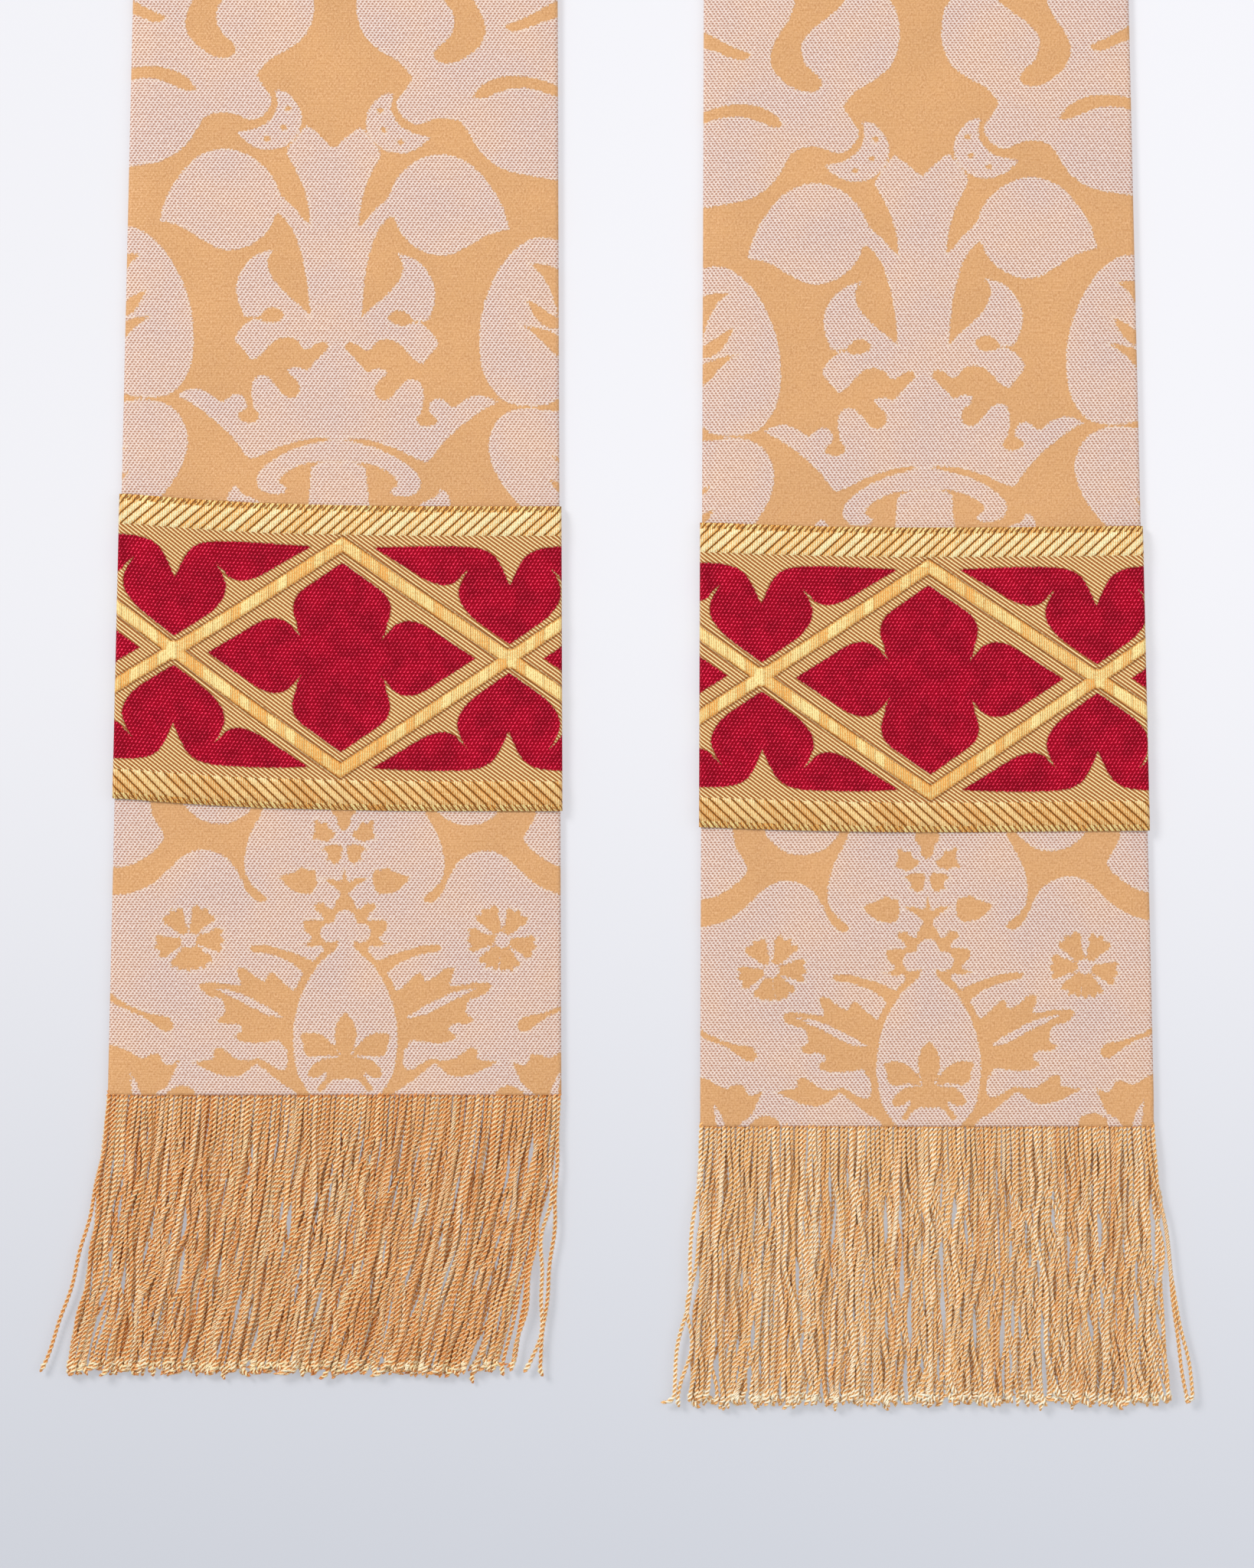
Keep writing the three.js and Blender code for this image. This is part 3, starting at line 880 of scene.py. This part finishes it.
def damask_mesh(name, piece_name, along, tuck, run_along, face_columns, lanes):
    """A length of the damask. tuck is 1 in the rows that are turned under at the hem."""
    sign, hem = SIDES[name]
    inset, edge_z = edge_profile()
    turned = len(inset)
    width = band_width(along + hem)
    share = np.linspace(0, 1, face_columns + 1)[1:-1]
    face = EDGE_ROLL + share[None] * (width - 2 * EDGE_ROLL)[:, None]
    left_turn = np.broadcast_to(inset, (len(along), turned))
    across = np.concatenate([left_turn, face, (width[:, None] - left_turn)[:, ::-1]], 1)
    x, y = band_point(sign, (along + hem)[:, None], across)
    from_edge = np.minimum(across, width[:, None] - across)
    z = face_height(x, y, np.maximum(from_edge - EDGE_ROLL, 0))
    lift = z[:, turned] - FACE_Z
    edges = edge_z[None] + (edge_z - UNDER_Z)[None] / (FACE_Z - UNDER_Z) * lift[:, None]
    z[:, :turned] = edges
    z[:, -turned:] = edges[:, ::-1]
    z = z - HEM_PRESS * tuck[:, None] * (z - UNDER_Z)
    dip = SEAM_DIP * smoothstep(1 - (side_length(hem) - along) / SEAM_REACH)
    z = z - dip[:, None] * np.clip(z - UNDER_Z - SEAM_KEEP, 0, None)
    # The part that is turned under shows no figure.
    figure = cloth_figure(name, along[:, None], across, width[:, None])
    under = turned // 2
    figure[:, :under] = -FAR
    figure[:, -under:] = -FAR
    step_in = np.abs(np.diff(inset, prepend=inset[0]))
    step_up = np.abs(np.diff(edge_z, prepend=edge_z[0]))
    run_turn = np.cumsum(step_in + 0.6 * step_up)
    far_turn = 2 * run_turn[-1] + HEM_WIDTH - run_turn[::-1]
    run_across = np.concatenate([run_turn, run_turn[-1] + share * HEM_WIDTH, far_turn])
    bake = bake_layout(run_across, run_along, lanes)
    faces = grid_faces(*across.shape)
    if sign < 0:
        faces = faces[:, ::-1]
        bake = bake[:, ::-1]
    return make_piece(
        piece_name, stacked(x, y, z), faces, DAMASK_CLOTH, floats={"figure": figure},
        uvs={"Cloth": stacked(across, along[:, None]), "OFBake": bake})


def make_damask_end(name):
    """The end of a band: the turn at its hem, then fine rows up past the orphrey."""
    angles = np.linspace(-math.pi / 2, math.pi / 2, 6)
    fine = np.linspace(HEM_ROLL, DAMASK_SPLIT, int(DAMASK_SPLIT / END_STEP))[1:]
    along = np.concatenate([[5.0, 2.0], HEM_ROLL * (1 - np.cos(angles)), fine])
    tuck = np.concatenate([[1, 1], (1 - np.sin(angles)) / 2, np.zeros(len(fine))])
    run_along = np.concatenate([[-8.0, -5.0], np.linspace(-2, 0, len(angles)), fine])
    return damask_mesh(name, f"damask_end_{name}", along, tuck, run_along, END_COLUMNS, 1)


def make_damask_rest(name):
    """The rest of a band, from past the orphrey to the neck seam."""
    end = side_length(SIDES[name][1])
    along = np.linspace(DAMASK_SPLIT, end, int((end - DAMASK_SPLIT) / REST_STEP))
    return damask_mesh(
        name, f"damask_rest_{name}", along, 0 * along, along, END_COLUMNS // 2, 3)


# ---------------------------------------------------------------- plain layers


LAYER_END = 0.3  # from the end of a plain layer to the neck seam
LAYER_SPAN = (110, 1280)  # a band's rough width and length, to count a layer's columns and rows by
RIM_WIDE = 2.5


def band_layer(name, piece_name, inset, above_hem, height, rim, material, step):
    """A plain sheet of a band. rim is how far its edges rise above the rest."""
    sign, hem = SIDES[name]
    columns, rows = [int(span / step) for span in LAYER_SPAN]
    along = np.linspace(above_hem, side_length(hem) - LAYER_END, rows)[:, None]
    width = band_width(along + hem)
    across = inset + np.linspace(0, 1, columns)[None] * (width - 2 * inset)
    x, y = band_point(sign, along + hem, across)
    from_edge = np.minimum(across - inset, width - inset - across)
    from_edge = np.minimum(from_edge, along - along[0])
    z = height + rim * (1 - smoothstep(from_edge / RIM_WIDE)) + 0.06 * noise_wave(x, y, 11, 60)
    faces = grid_faces(rows, columns)
    if sign < 0:
        faces = faces[:, ::-1]
    return make_piece(
        piece_name, stacked(x, y, z), faces, material, uvs={"Cloth": stacked(across, along)})


TAPE_RIB = 1.3
TAPE_RELIEF = 0.15


def make_heading(name):
    """The ribbed tape inside the hem, which the cords hang from."""
    low, high = [np.array(corner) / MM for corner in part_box(f"fringe_heading_{name}")]
    across = np.linspace(low[0], high[0], 120)
    along = np.linspace(low[1] - LEFT_HEM, high[1] - LEFT_HEM, 8)
    x, y = np.meshgrid(across, along)
    z = (low[2] + high[2]) / 2 + TAPE_RELIEF * np.cos(2 * math.pi * x / TAPE_RIB)
    return make_piece(
        f"fringe_tape_{name}", stacked(x, y, z), grid_faces(*x.shape), TAPE_CLOTH,
        uvs={"Cloth": stacked(x, y)})


# ---------------------------------------------------------------- orphrey braid

QUATREFOIL = [
    (0, 25.2, C), (6.5, 20.7), (11.2, 17.2), (12.9, 14.2), (12.8, 11.4), (12, 8.8),
    (11.6, 6.8), (10.5, 4.7, C), (12.2, 6.6), (13.6, 8.3), (15.8, 9.6), (18.6, 9.9),
    (22, 8.8), (27, 5.6), (35.6, 0, C),
    (35.6, -FAR, C), (-FAR, -FAR, C), (-FAR, 25.2, C),
]
HALF_FOIL = [
    (0, 3.8, C), (5.5, 7.6), (10, 11), (12.9, 14.6), (13.7, 17.8), (13, 20.2), (12.2, 22),
    (10.8, 24.1, C), (12.9, 22.2), (14.2, 20.6), (16, 19.8), (18.6, 19.7), (22.5, 21),
    (27.5, 24), (36.4, 29.4, C),
    (22, 29.9), (10, 29.6), (5, 27.9), (2.4, 24.6), (0, 19.3, C), (-FAR, 19.3, C), (-FAR, 3.8, C),
]
BRAID_CENTRE = {"left": 0.8, "right": 1.7}  # where a diamond's centre lies from the band's
# Height of the braid's middle line above the hem, at distances from the band's centre
LIE_AT = [-60, -40, -20, 0, 20, 60]
BRAID_LIE = {
    "left": [120.0, 118.3, 117.2, 116.7, 116.4, 116.4],
    "right": [120.6, 119.8, 119.3, 119.1, 119.2, 119.6],
}
BRAID_STEP = 0.5
BRAID_WRAP = 2.6  # how much of each end goes round the band's edge
WRAP_BULGE = 0.55
WRAP_DROP = 0.95  # how steeply it goes down there
BRAID_FACE = ORPHREY_BOTTOM + 0.75
BAR_RELIEF = 0.28
RED_DIP = 0.16
ROW_RELIEF = 0.34
GROOVE_DEPTH = 0.26


def braid_line(name, x):
    """Height of the braid's middle line above the hem, without corners."""
    spread = np.linspace(-8, 8, 9)
    return sum(np.interp(x + d, LIE_AT, BRAID_LIE[name]) for d in spread) / len(spread)


def braid_shapes(braid_x, by):
    """Distances inside the crimson shapes and inside the bars, from the middle of a diamond."""
    # The repeat is folded to a quarter of one diamond.
    fold_x = np.abs(np.mod(braid_x + CELL, 2 * CELL) - CELL)
    fold_y = np.abs(by)
    red = np.maximum(
        inside_distance(outline(QUATREFOIL), fold_x, fold_y),
        inside_distance(outline(HALF_FOIL), CELL - fold_x, fold_y))
    long_way = math.hypot(CELL, BAR_APEX)
    from_bar = np.abs(fold_x * BAR_APEX + fold_y * CELL - CELL * BAR_APEX) / long_way
    knot = np.minimum(KNOT_WIDE - (CELL - fold_x), KNOT_HIGH - fold_y)
    return red, np.maximum(BAR_HALF - from_bar, knot)


def braid_height(braid_x, edge, red, bar):
    """Height of the braid's face. edge is the distance from the braid's middle line."""
    z = BRAID_FACE + BAR_RELIEF * smoothstep((bar + 0.25) / 0.8) * (edge < ROW_INNER)
    z = z - RED_DIP * smoothstep((red + 0.3) / 0.6)
    in_row = smoothstep((edge - ROW_INNER + 0.3) / 0.9)
    in_row = in_row * (1 - smoothstep((edge - ROW_OUTER + 0.9) / 0.9))
    groove = np.clip(np.cos(2 * math.pi * (braid_x - ROW_LEAN * edge) / ROW_PITCH), 0, 1) ** 3
    z = z + in_row * (ROW_RELIEF - GROOVE_DEPTH * groove)
    in_loops = smoothstep((edge - ROW_OUTER + 0.1) / 0.5)
    loop_wave = np.cos(2 * math.pi * (braid_x - LOOP_LEAN * edge) / (ROW_PITCH / 2))
    outermost = smoothstep((edge - BRAID_HALF + 0.7) / 0.7)
    return z + in_loops * (-0.1 - 0.16 * loop_wave - 0.34 * outermost)


def make_orphrey(name):
    """The braid across a band, with its two ends turned round the band's edges."""
    sign, hem = SIDES[name]
    rise = np.linspace(-BRAID_HALF, BRAID_HALF, int(2 * BRAID_HALF / BRAID_STEP) + 1)
    half = band_width(np.interp(0, LIE_AT, BRAID_LIE[name])) / 2
    reach = half + BRAID_WRAP
    share = np.linspace(-1, 1, int(2 * reach / BRAID_STEP) + 1)
    s, by = np.meshgrid(share * reach, rise)
    # The band widens towards the hem, so the braid's ends follow its edges.
    level = hem + braid_line(name, s) + by
    width = band_width(level)
    centre = sign * (inner_edge(level) + width / 2)
    flat = np.clip(s, -half, half) * (width / 2) / half
    past = np.clip(np.abs(s) - half, 0, None)
    bulge = WRAP_BULGE * np.sin(np.minimum(past / 1.3 * 1.6, math.pi / 2))
    braid_x = flat - BRAID_CENTRE[name] + np.sign(s) * past
    red, bar = braid_shapes(braid_x, by)
    z = braid_height(braid_x, np.abs(by), red, bar)
    x = centre + flat + np.sign(s) * bulge
    z = z + 0.10 * noise_wave(x, level, 21, 34) * (1 - smoothstep((np.abs(s) - half + 6) / 5))
    z = z - WRAP_DROP * past
    bake = stacked(s + reach + 1, by + BRAID_HALF + 1) / (2 * reach + 2)
    return make_piece(
        f"orphrey_braid_{name}", stacked(x, level, z), grid_faces(*s.shape), BRAID_CLOTH,
        floats={"red": red, "bar": bar}, uvs={"Cloth": stacked(braid_x, by), "OFBake": bake})


STITCH_PITCH = ROW_PITCH
STITCH_LENGTH = 1.3
STITCH_RADIUS = 0.13
STITCH_SIDES = 6
STITCH_INSET = 0.55  # from the braid's edge to the row of stitches
STITCH_FOOT = ORPHREY_BOTTOM + 0.62
STITCH_ARCH = 0.32


def around(path, angles):
    """Unit vectors across each path of an array (paths, steps, 3), at angles from its side."""
    ahead = np.gradient(path, axis=1)
    side = np.cross(ahead, [0, 0, 1.0])
    side /= np.linalg.norm(side, axis=2, keepdims=True)
    up = np.cross(side, ahead)
    up /= np.linalg.norm(up, axis=2, keepdims=True)
    angles = angles * np.ones(path.shape[:2] + (1,))
    return side[:, :, None] * np.cos(angles)[..., None] + up[:, :, None] * np.sin(angles)[..., None]


def tube(path, radius, sides):
    """Points of a round tube along each path of an array (paths, steps, 3)."""
    return path[:, :, None] + around(path, np.arange(sides) * 2 * math.pi / sides) * radius


def tube_faces(paths, steps, sides):
    """Quads of the tubes and the caps at both of their ends."""
    start = np.arange(paths)[:, None, None] * steps * sides
    ring = start + np.arange(steps - 1)[None, :, None] * sides
    here = np.arange(sides)[None, None]
    there = (here + 1) % sides
    quads = np.stack([ring + here, ring + there, ring + there + sides, ring + here + sides], -1)
    first = np.arange(paths)[:, None] * steps * sides + np.arange(sides)[None]
    last = first + (steps - 1) * sides
    return quads.reshape(-1, 4)[:, ::-1], np.concatenate([first, last[:, ::-1]])


def make_stitching(name, word, edge):
    """A row of slanting stitches through the braid's upper (edge 1) or lower (edge -1) edge."""
    sign, hem = SIDES[name]
    by = edge * (BRAID_HALF - STITCH_INSET)
    middle = np.interp(0, LIE_AT, BRAID_LIE[name]) + by
    half = band_width(middle) / 2 - 1.5
    starts = np.arange(-half, half, STITCH_PITCH)
    t = np.linspace(-0.5, 0.5, 6)
    s = starts[:, None] + t[None] * STITCH_LENGTH
    level = hem + braid_line(name, s) + by - edge * (0.25 - 0.9 * t[None])
    x = sign * (inner_edge(level) + band_width(level) / 2) + s
    path = stacked(x, level, STITCH_FOOT + STITCH_ARCH * np.cos(math.pi * t)[None])
    radius = STITCH_RADIUS * np.sqrt(np.clip(1.08 - (2 * t) ** 2, 0.1, 1))
    points = tube(path, radius[None, :, None, None], STITCH_SIDES)
    faces, caps = tube_faces(len(starts), len(t), STITCH_SIDES)
    return make_piece(f"orphrey_{word}_stitches_{name}", points, faces, THREAD_CLOTH, caps=caps)


# ---------------------------------------------------------------- fringe

PLY_RADIUS = 0.36
HELIX_RADIUS = 0.3  # from a cord's middle to the middle of each ply
CORD_RADIUS = PLY_RADIUS + HELIX_RADIUS
CORD_PITCH = 1.18  # from one cord to the next in a layer
PLIES = 2
TWIST_PITCH = 2.7
RING_STEP = 0.33  # from one ring of a ply's points to the next
PLY_SIDES = 5
CREASE = 0.87  # share of the cord's radius below which a ply counts as down in the twist and is painted in shade
CORDS_A_PIECE = 41
FRINGE = {
    # drift of the cords' lower ends at the outer and at the inner side, in x, and how far the
    # loose cords at the lowest and at the highest x stray from the rest; tone is how pale they are
    # The left fringe's lower tone is painted shade: it is made darker than the right.
    "left": {"drift": (-11.5, -17.5), "loose": (-1.0, 12.0), "tone": 0.0, "seed": 41},
    "right": {"drift": (4.0, -3.5), "loose": (-5.5, 7.0), "tone": 0.6, "seed": 57},
}
LAYERS = [
    # height of the cords' centres, how far they wander, and how much their tips vary
    {"height": 0.9, "wander": 0.7, "ragged": 2.0},
    {"height": 1.6, "wander": 1.2, "ragged": 1.8},
    {"height": 2.3, "wander": 1.3, "ragged": 1.6},
]


ROOT_MARGIN = 0.5  # from the band's edge to its outermost cords
ROOT_DEPTH = 1.2  # how far above the hem the cords begin
ROOT_HEIGHT = 1.55  # of the middle layer there
ROOT_SPREAD = 0.45  # from one layer to the next there
CORD_FLOOR = 1.35 * CORD_RADIUS  # the least height of a cord's centre, so that its tip is clear
LOOSE_FAN = np.array([1.0, 0.86, 0.55, 0.5, 0.3, 0.22, 0.1])  # share of each outermost cord
STRAY_SHARE = 0.14  # of the cords lie across others
SWAYS = ((1.1, 0.75), (2.3, 0.55), (4.1, 0.32))  # waves along a cord, and their usual size
CURL_SHARE = 0.045  # of a cord's length, at its tip, curls to one side
KNOB_PLACE = 0.975
KNOB_SHARE = 0.012
KNOB_SWELL = 0.25


def cord_paths(name, layer_number):
    """Centre lines of one layer of cords, as (cords, rings, 3)."""
    sign, hem = SIDES[name]
    layer = LAYERS[layer_number]
    info = FRINGE[name]
    rng = np.random.default_rng(info["seed"] + layer_number)
    inner = inner_edge(hem) + ROOT_MARGIN
    outer = inner_edge(hem) + HEM_WIDTH - ROOT_MARGIN
    low, high = sorted((sign * inner, sign * outer))
    count = int((high - low) / CORD_PITCH)
    root = np.linspace(low, high, count) + rng.normal(0, 0.12, count)
    length = FRINGE_LENGTH + rng.normal(-0.6, layer["ragged"] * 0.45, count)[:, None]
    t = np.linspace(0, 1, int(FRINGE_LENGTH / RING_STEP))[None]
    share = (root - low) / (high - low)
    if sign < 0:
        share = 1 - share
    drift = info["drift"][1] + (info["drift"][0] - info["drift"][1]) * share
    # Cords gather in loose clumps as they go down, and a few stray across the others.
    clump = np.cumsum(rng.uniform(0.7, 1.3, count)) / rng.uniform(6.0, 8.0)
    pull = (np.floor(clump) + 0.5 - clump) * 7 * CORD_PITCH
    gather = rng.uniform(0.1, 0.5, count) * layer["wander"] / 1.4
    stray = rng.normal(0, 1, count) * layer["wander"] * 1.1
    wild = rng.random(count) < STRAY_SHARE
    stray[wild] += rng.normal(0, 5.5, wild.sum())
    if layer_number == len(LAYERS) - 1:
        low_side, high_side = info["loose"]
        stray[:len(LOOSE_FAN)] = LOOSE_FAN * low_side
        stray[-len(LOOSE_FAN):] = LOOSE_FAN[::-1] * high_side
    x = root[:, None] + drift[:, None] * (0.5 * t + 0.5 * t ** 2)
    x = x + pull[:, None] * gather[:, None] * smoothstep((t - 0.08) / 0.6)
    x = x + stray[:, None] * t ** 1.3
    for cycles, size in SWAYS:
        phase = rng.uniform(0, 2 * math.pi, (count, 1))
        swing = rng.normal(0, size, (count, 1)) * layer["wander"]
        x = x + swing * np.sin(2 * math.pi * cycles * t + phase) * smoothstep(t / 0.35)
    y = hem + ROOT_DEPTH - t * length
    curl = rng.normal(0, 1.6, (count, 1))
    tip = np.clip((t - (1 - CURL_SHARE)) / CURL_SHARE, 0, 1)
    x = x + curl * tip ** 2
    y = y + 0.4 * np.abs(curl) * tip ** 3
    lift = rng.uniform(-0.15, 0.5, (count, 1)) + 0.3 * layer_number * wild[:, None]
    root_height = ROOT_HEIGHT + ROOT_SPREAD * (layer_number - 1)
    settle = smoothstep(t / 0.14)
    z = root_height * (1 - settle) + (layer["height"] + lift) * settle
    ripple = rng.uniform(0, 2 * math.pi, (count, 1))
    z = z + 0.18 * np.sin(2 * math.pi * 1.7 * t + ripple) * settle
    return stacked(x, y, np.maximum(z, CORD_FLOOR)), rng


def twisted_plies(paths, rng):
    """Points of the plies round the cords' paths, as (cords, plies, rings, sides, 3)."""
    cords, rings = paths.shape[:2]
    turn = np.arange(rings) * RING_STEP * 2 * math.pi / TWIST_PITCH
    turn = rng.uniform(0, 2 * math.pi, (cords, 1)) - turn[None]
    t = np.linspace(0, 1, rings)
    knob = 1 + KNOB_SWELL * np.exp(-((t - KNOB_PLACE) / KNOB_SHARE) ** 2)
    close = np.sqrt(np.clip((1 - t) / KNOB_SHARE, 0.02, 1))
    girth = rng.uniform(0.92, 1.06, (cords, 1)) * (knob * close)[None]
    rim_angles = np.arange(PLY_SIDES) * 2 * math.pi / PLY_SIDES
    plies = []
    for start in np.arange(PLIES) * 2 * math.pi / PLIES:
        outward = (turn + start)[..., None]
        middle = around(paths, outward) * HELIX_RADIUS
        rim = around(paths, outward + rim_angles) * PLY_RADIUS
        plies.append(paths[:, :, None] + (middle + rim) * girth[..., None, None])
    return np.stack(plies, 1)


def crests(points, paths, hem):
    """Painted light and shade on the cords: 1, a painted highlight, on the crests of the twist, and
    -1, painted shade, down in its creases and, as a painted shadow, just under the hem.
    """
    out = np.linalg.norm(points - paths[:, None, :, None], axis=-1) / CORD_RADIUS
    painted_light_and_shade = np.clip((out - CREASE) / (1 - CREASE), -1, 1)
    # A painted shadow darkens the cords just under the hem.
    painted_hem_shadow = smoothstep((paths[..., 1] - hem + 0.45) / 0.3)[:, None, :, None]
    return painted_light_and_shade * (1 - painted_hem_shadow) - painted_hem_shadow


def make_fringe(name):
    """The skirt of twisted cords, a few dozen to a piece."""
    pieces = []
    for layer_number in range(len(LAYERS)):
        paths, rng = cord_paths(name, layer_number)
        cords, rings = paths.shape[:2]
        points = twisted_plies(paths, rng)
        painted_light_and_shade = crests(points, paths, SIDES[name][1])
        tone = FRINGE[name]["tone"] + 0.7 * rng.random((cords, 1, 1, 1))
        tone = np.broadcast_to(tone, painted_light_and_shade.shape)
        for first in range(0, cords, CORDS_A_PIECE):
            part = slice(first, min(first + CORDS_A_PIECE, cords))
            faces, caps = tube_faces(len(points[part]) * PLIES, rings, PLY_SIDES)
            pieces.append(make_piece(
                f"fringe_cords_{name}_{len(pieces) + 1}", points[part], faces, CORD_CLOTH,
                caps=caps, floats={"ply": painted_light_and_shade[part], "tone": tone[part]}))
    return pieces


# ---------------------------------------------------------------- building and riding

DAMASK_CLOTH = damask_material()
BRAID_CLOTH = orphrey_material()
CORD_CLOTH = cord_material()
LINING_CLOTH = woven_material(
    "lining_satin", linear(196, 146, 78), linear(226, 180, 108), 0.5, 0.36)
CANVAS_CLOTH = woven_material(
    "interlining_canvas", linear(190, 178, 152), linear(236, 228, 206), 1.1, 0.8)
TAPE_CLOTH = woven_material("heading_tape", linear(190, 140, 84), linear(232, 188, 124), 0.8, 0.6)
THREAD_CLOTH = woven_material("sewing_thread", linear(140, 88, 40), linear(178, 120, 62), 0.3, 0.5)


def stand_in(piece, solid, body=None):
    """Hide the solid that a piece stands for. The piece rides a body, or else its transform is
    baked into its mesh.
    """
    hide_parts(solid)
    if body:
        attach(piece, body)
        return
    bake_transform(piece)


def hang_fringe(name):
    """The cords, which stand for the fringe's skirt; the skirt's solid is hidden."""
    cords = make_fringe(name)
    for piece in cords:
        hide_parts(f"fringe_skirt_{name}")
        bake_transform(piece)
    return cords


def build_side(name):
    """One half of the stole: its pieces, what each stands for, and how it moves and lies."""
    body = f"{name}_half"

    damask_end = make_damask_end(name)
    damask_rest = make_damask_rest(name)
    stand_in(damask_end, f"damask_{name}", body)
    stand_in(damask_rest, f"damask_{name}")
    interlining = band_layer(
        name, f"interlining_canvas_{name}", CORE_INSET, CORE_SET_BACK,
        (CORE_BOTTOM + CORE_TOP) / 2, 0, CANVAS_CLOTH, 6.0)
    stand_in(interlining, f"interlining_{name}")
    lining = band_layer(
        name, f"lining_satin_{name}", LINING_SET_BACK, LINING_SET_BACK, 0.2, 0.45,
        LINING_CLOTH, 3.0)
    stand_in(lining, f"lining_{name}")
    heading = make_heading(name)
    stand_in(heading, f"fringe_heading_{name}", body)
    orphrey = make_orphrey(name)
    stand_in(orphrey, f"orphrey_{name}", body)
    for word, edge in (("upper", 1), ("lower", -1)):
        row = make_stitching(name, word, edge)
        stand_in(row, f"orphrey_{word}_stitching_{name}", body)
    cords = hang_fringe(name)


for side_name in SIDES:
    build_side(side_name)


# ---------------------------------------------------------------- surface, light and camera

VIEW_CENTRE = (-1.0, 83.0)  # from the neck seam, and above the left hem
VIEW_HEIGHT = 418.6
CAMERA_HEIGHT = 1800
SENSOR = 24
SHADE_DROP = 330  # below the left hem, where the ground's patch of painted shade has its middle
SHADE_INNER = 120
SHADE_OUTER = 500


def make_surface():
    """A plain pale surface, with a soft patch of painted shade past the fringes and painted shade
    towards the left. It also glows a little, as painted light that lifts the shadows cast on it.
    """
    g = Graph("pale_surface", Specular_IOR_Level=0.1, Roughness=0.9, Emission_Strength=0.55)
    x, y = g.split(g.place())
    down = g.math("SUBTRACT", y, (LEFT_HEM - SHADE_DROP) * MM)
    beside = g.times(x, 0.4)
    away = g.math("SQRT", g.math("ADD", g.times(down, down), g.times(beside, beside)))
    shade = g.ramp(away, SHADE_INNER * MM, SHADE_OUTER * MM)
    # Painted shade: the surface is a little darker towards the left, and greyer in the patch.
    left = g.plus(g.ramp(x, -0.22, 0.12), 0.05, 0.94)
    g.colour(g.tint(g.mix(shade, linear(156, 155, 161), linear(177, 177, 179)), left))
    # The surface glows, as painted light that fills in the shadows cast on it.
    painted_glow = g.tint(g.mix(shade, linear(190, 199, 209), linear(236, 236, 243)), left)
    g.put(g.shader.inputs["Emission Color"], painted_glow)
    bpy.ops.mesh.primitive_plane_add(size=6, location=(0, 0, -0.0001))
    surface = bpy.context.object
    surface.name = "pale_floor"
    surface.data.materials.append(g.material)


def add_area_light(name, place, target, size, power):
    data = bpy.data.lights.new(name, "AREA")
    data.size = size
    data.energy = power
    lamp = bpy.data.objects.new(name, data)
    lamp.location = place
    aim = Vector(target) - Vector(place)
    lamp.rotation_euler = aim.to_track_quat("-Z", "Y").to_euler()
    bpy.context.scene.collection.objects.link(lamp)


def make_light():
    """A key light from the upper left, a weak fill from the right and an even white sky."""
    y = (LEFT_HEM + VIEW_CENTRE[1]) * MM
    add_area_light("key", (-1.5, y + 1.3, 1.9), (0, y, 0), 0.9, 42)
    add_area_light("fill", (0.9, y + 0.1, 1.3), (0.2, y, 0), 1.2, 5.0)
    world = bpy.data.worlds.new("soft_studio")
    world.use_nodes = True
    background = world.node_tree.nodes["Background"]
    background.inputs["Color"].default_value = (1.0, 1.0, 1.0, 1)
    background.inputs["Strength"].default_value = 0.54
    bpy.context.scene.world = world


def make_camera():
    data = bpy.data.cameras.new("camera")
    data.sensor_fit = "VERTICAL"
    data.sensor_height = SENSOR
    data.lens = SENSOR * CAMERA_HEIGHT / VIEW_HEIGHT
    data.clip_end = 20
    camera = bpy.data.objects.new("camera", data)
    camera.location = (VIEW_CENTRE[0] * MM, (LEFT_HEM + VIEW_CENTRE[1]) * MM, CAMERA_HEIGHT * MM)
    bpy.context.scene.collection.objects.link(camera)
    bpy.context.scene.camera = camera


make_surface()
make_light()
make_camera()
bpy.context.scene.view_settings.view_transform = "Standard"
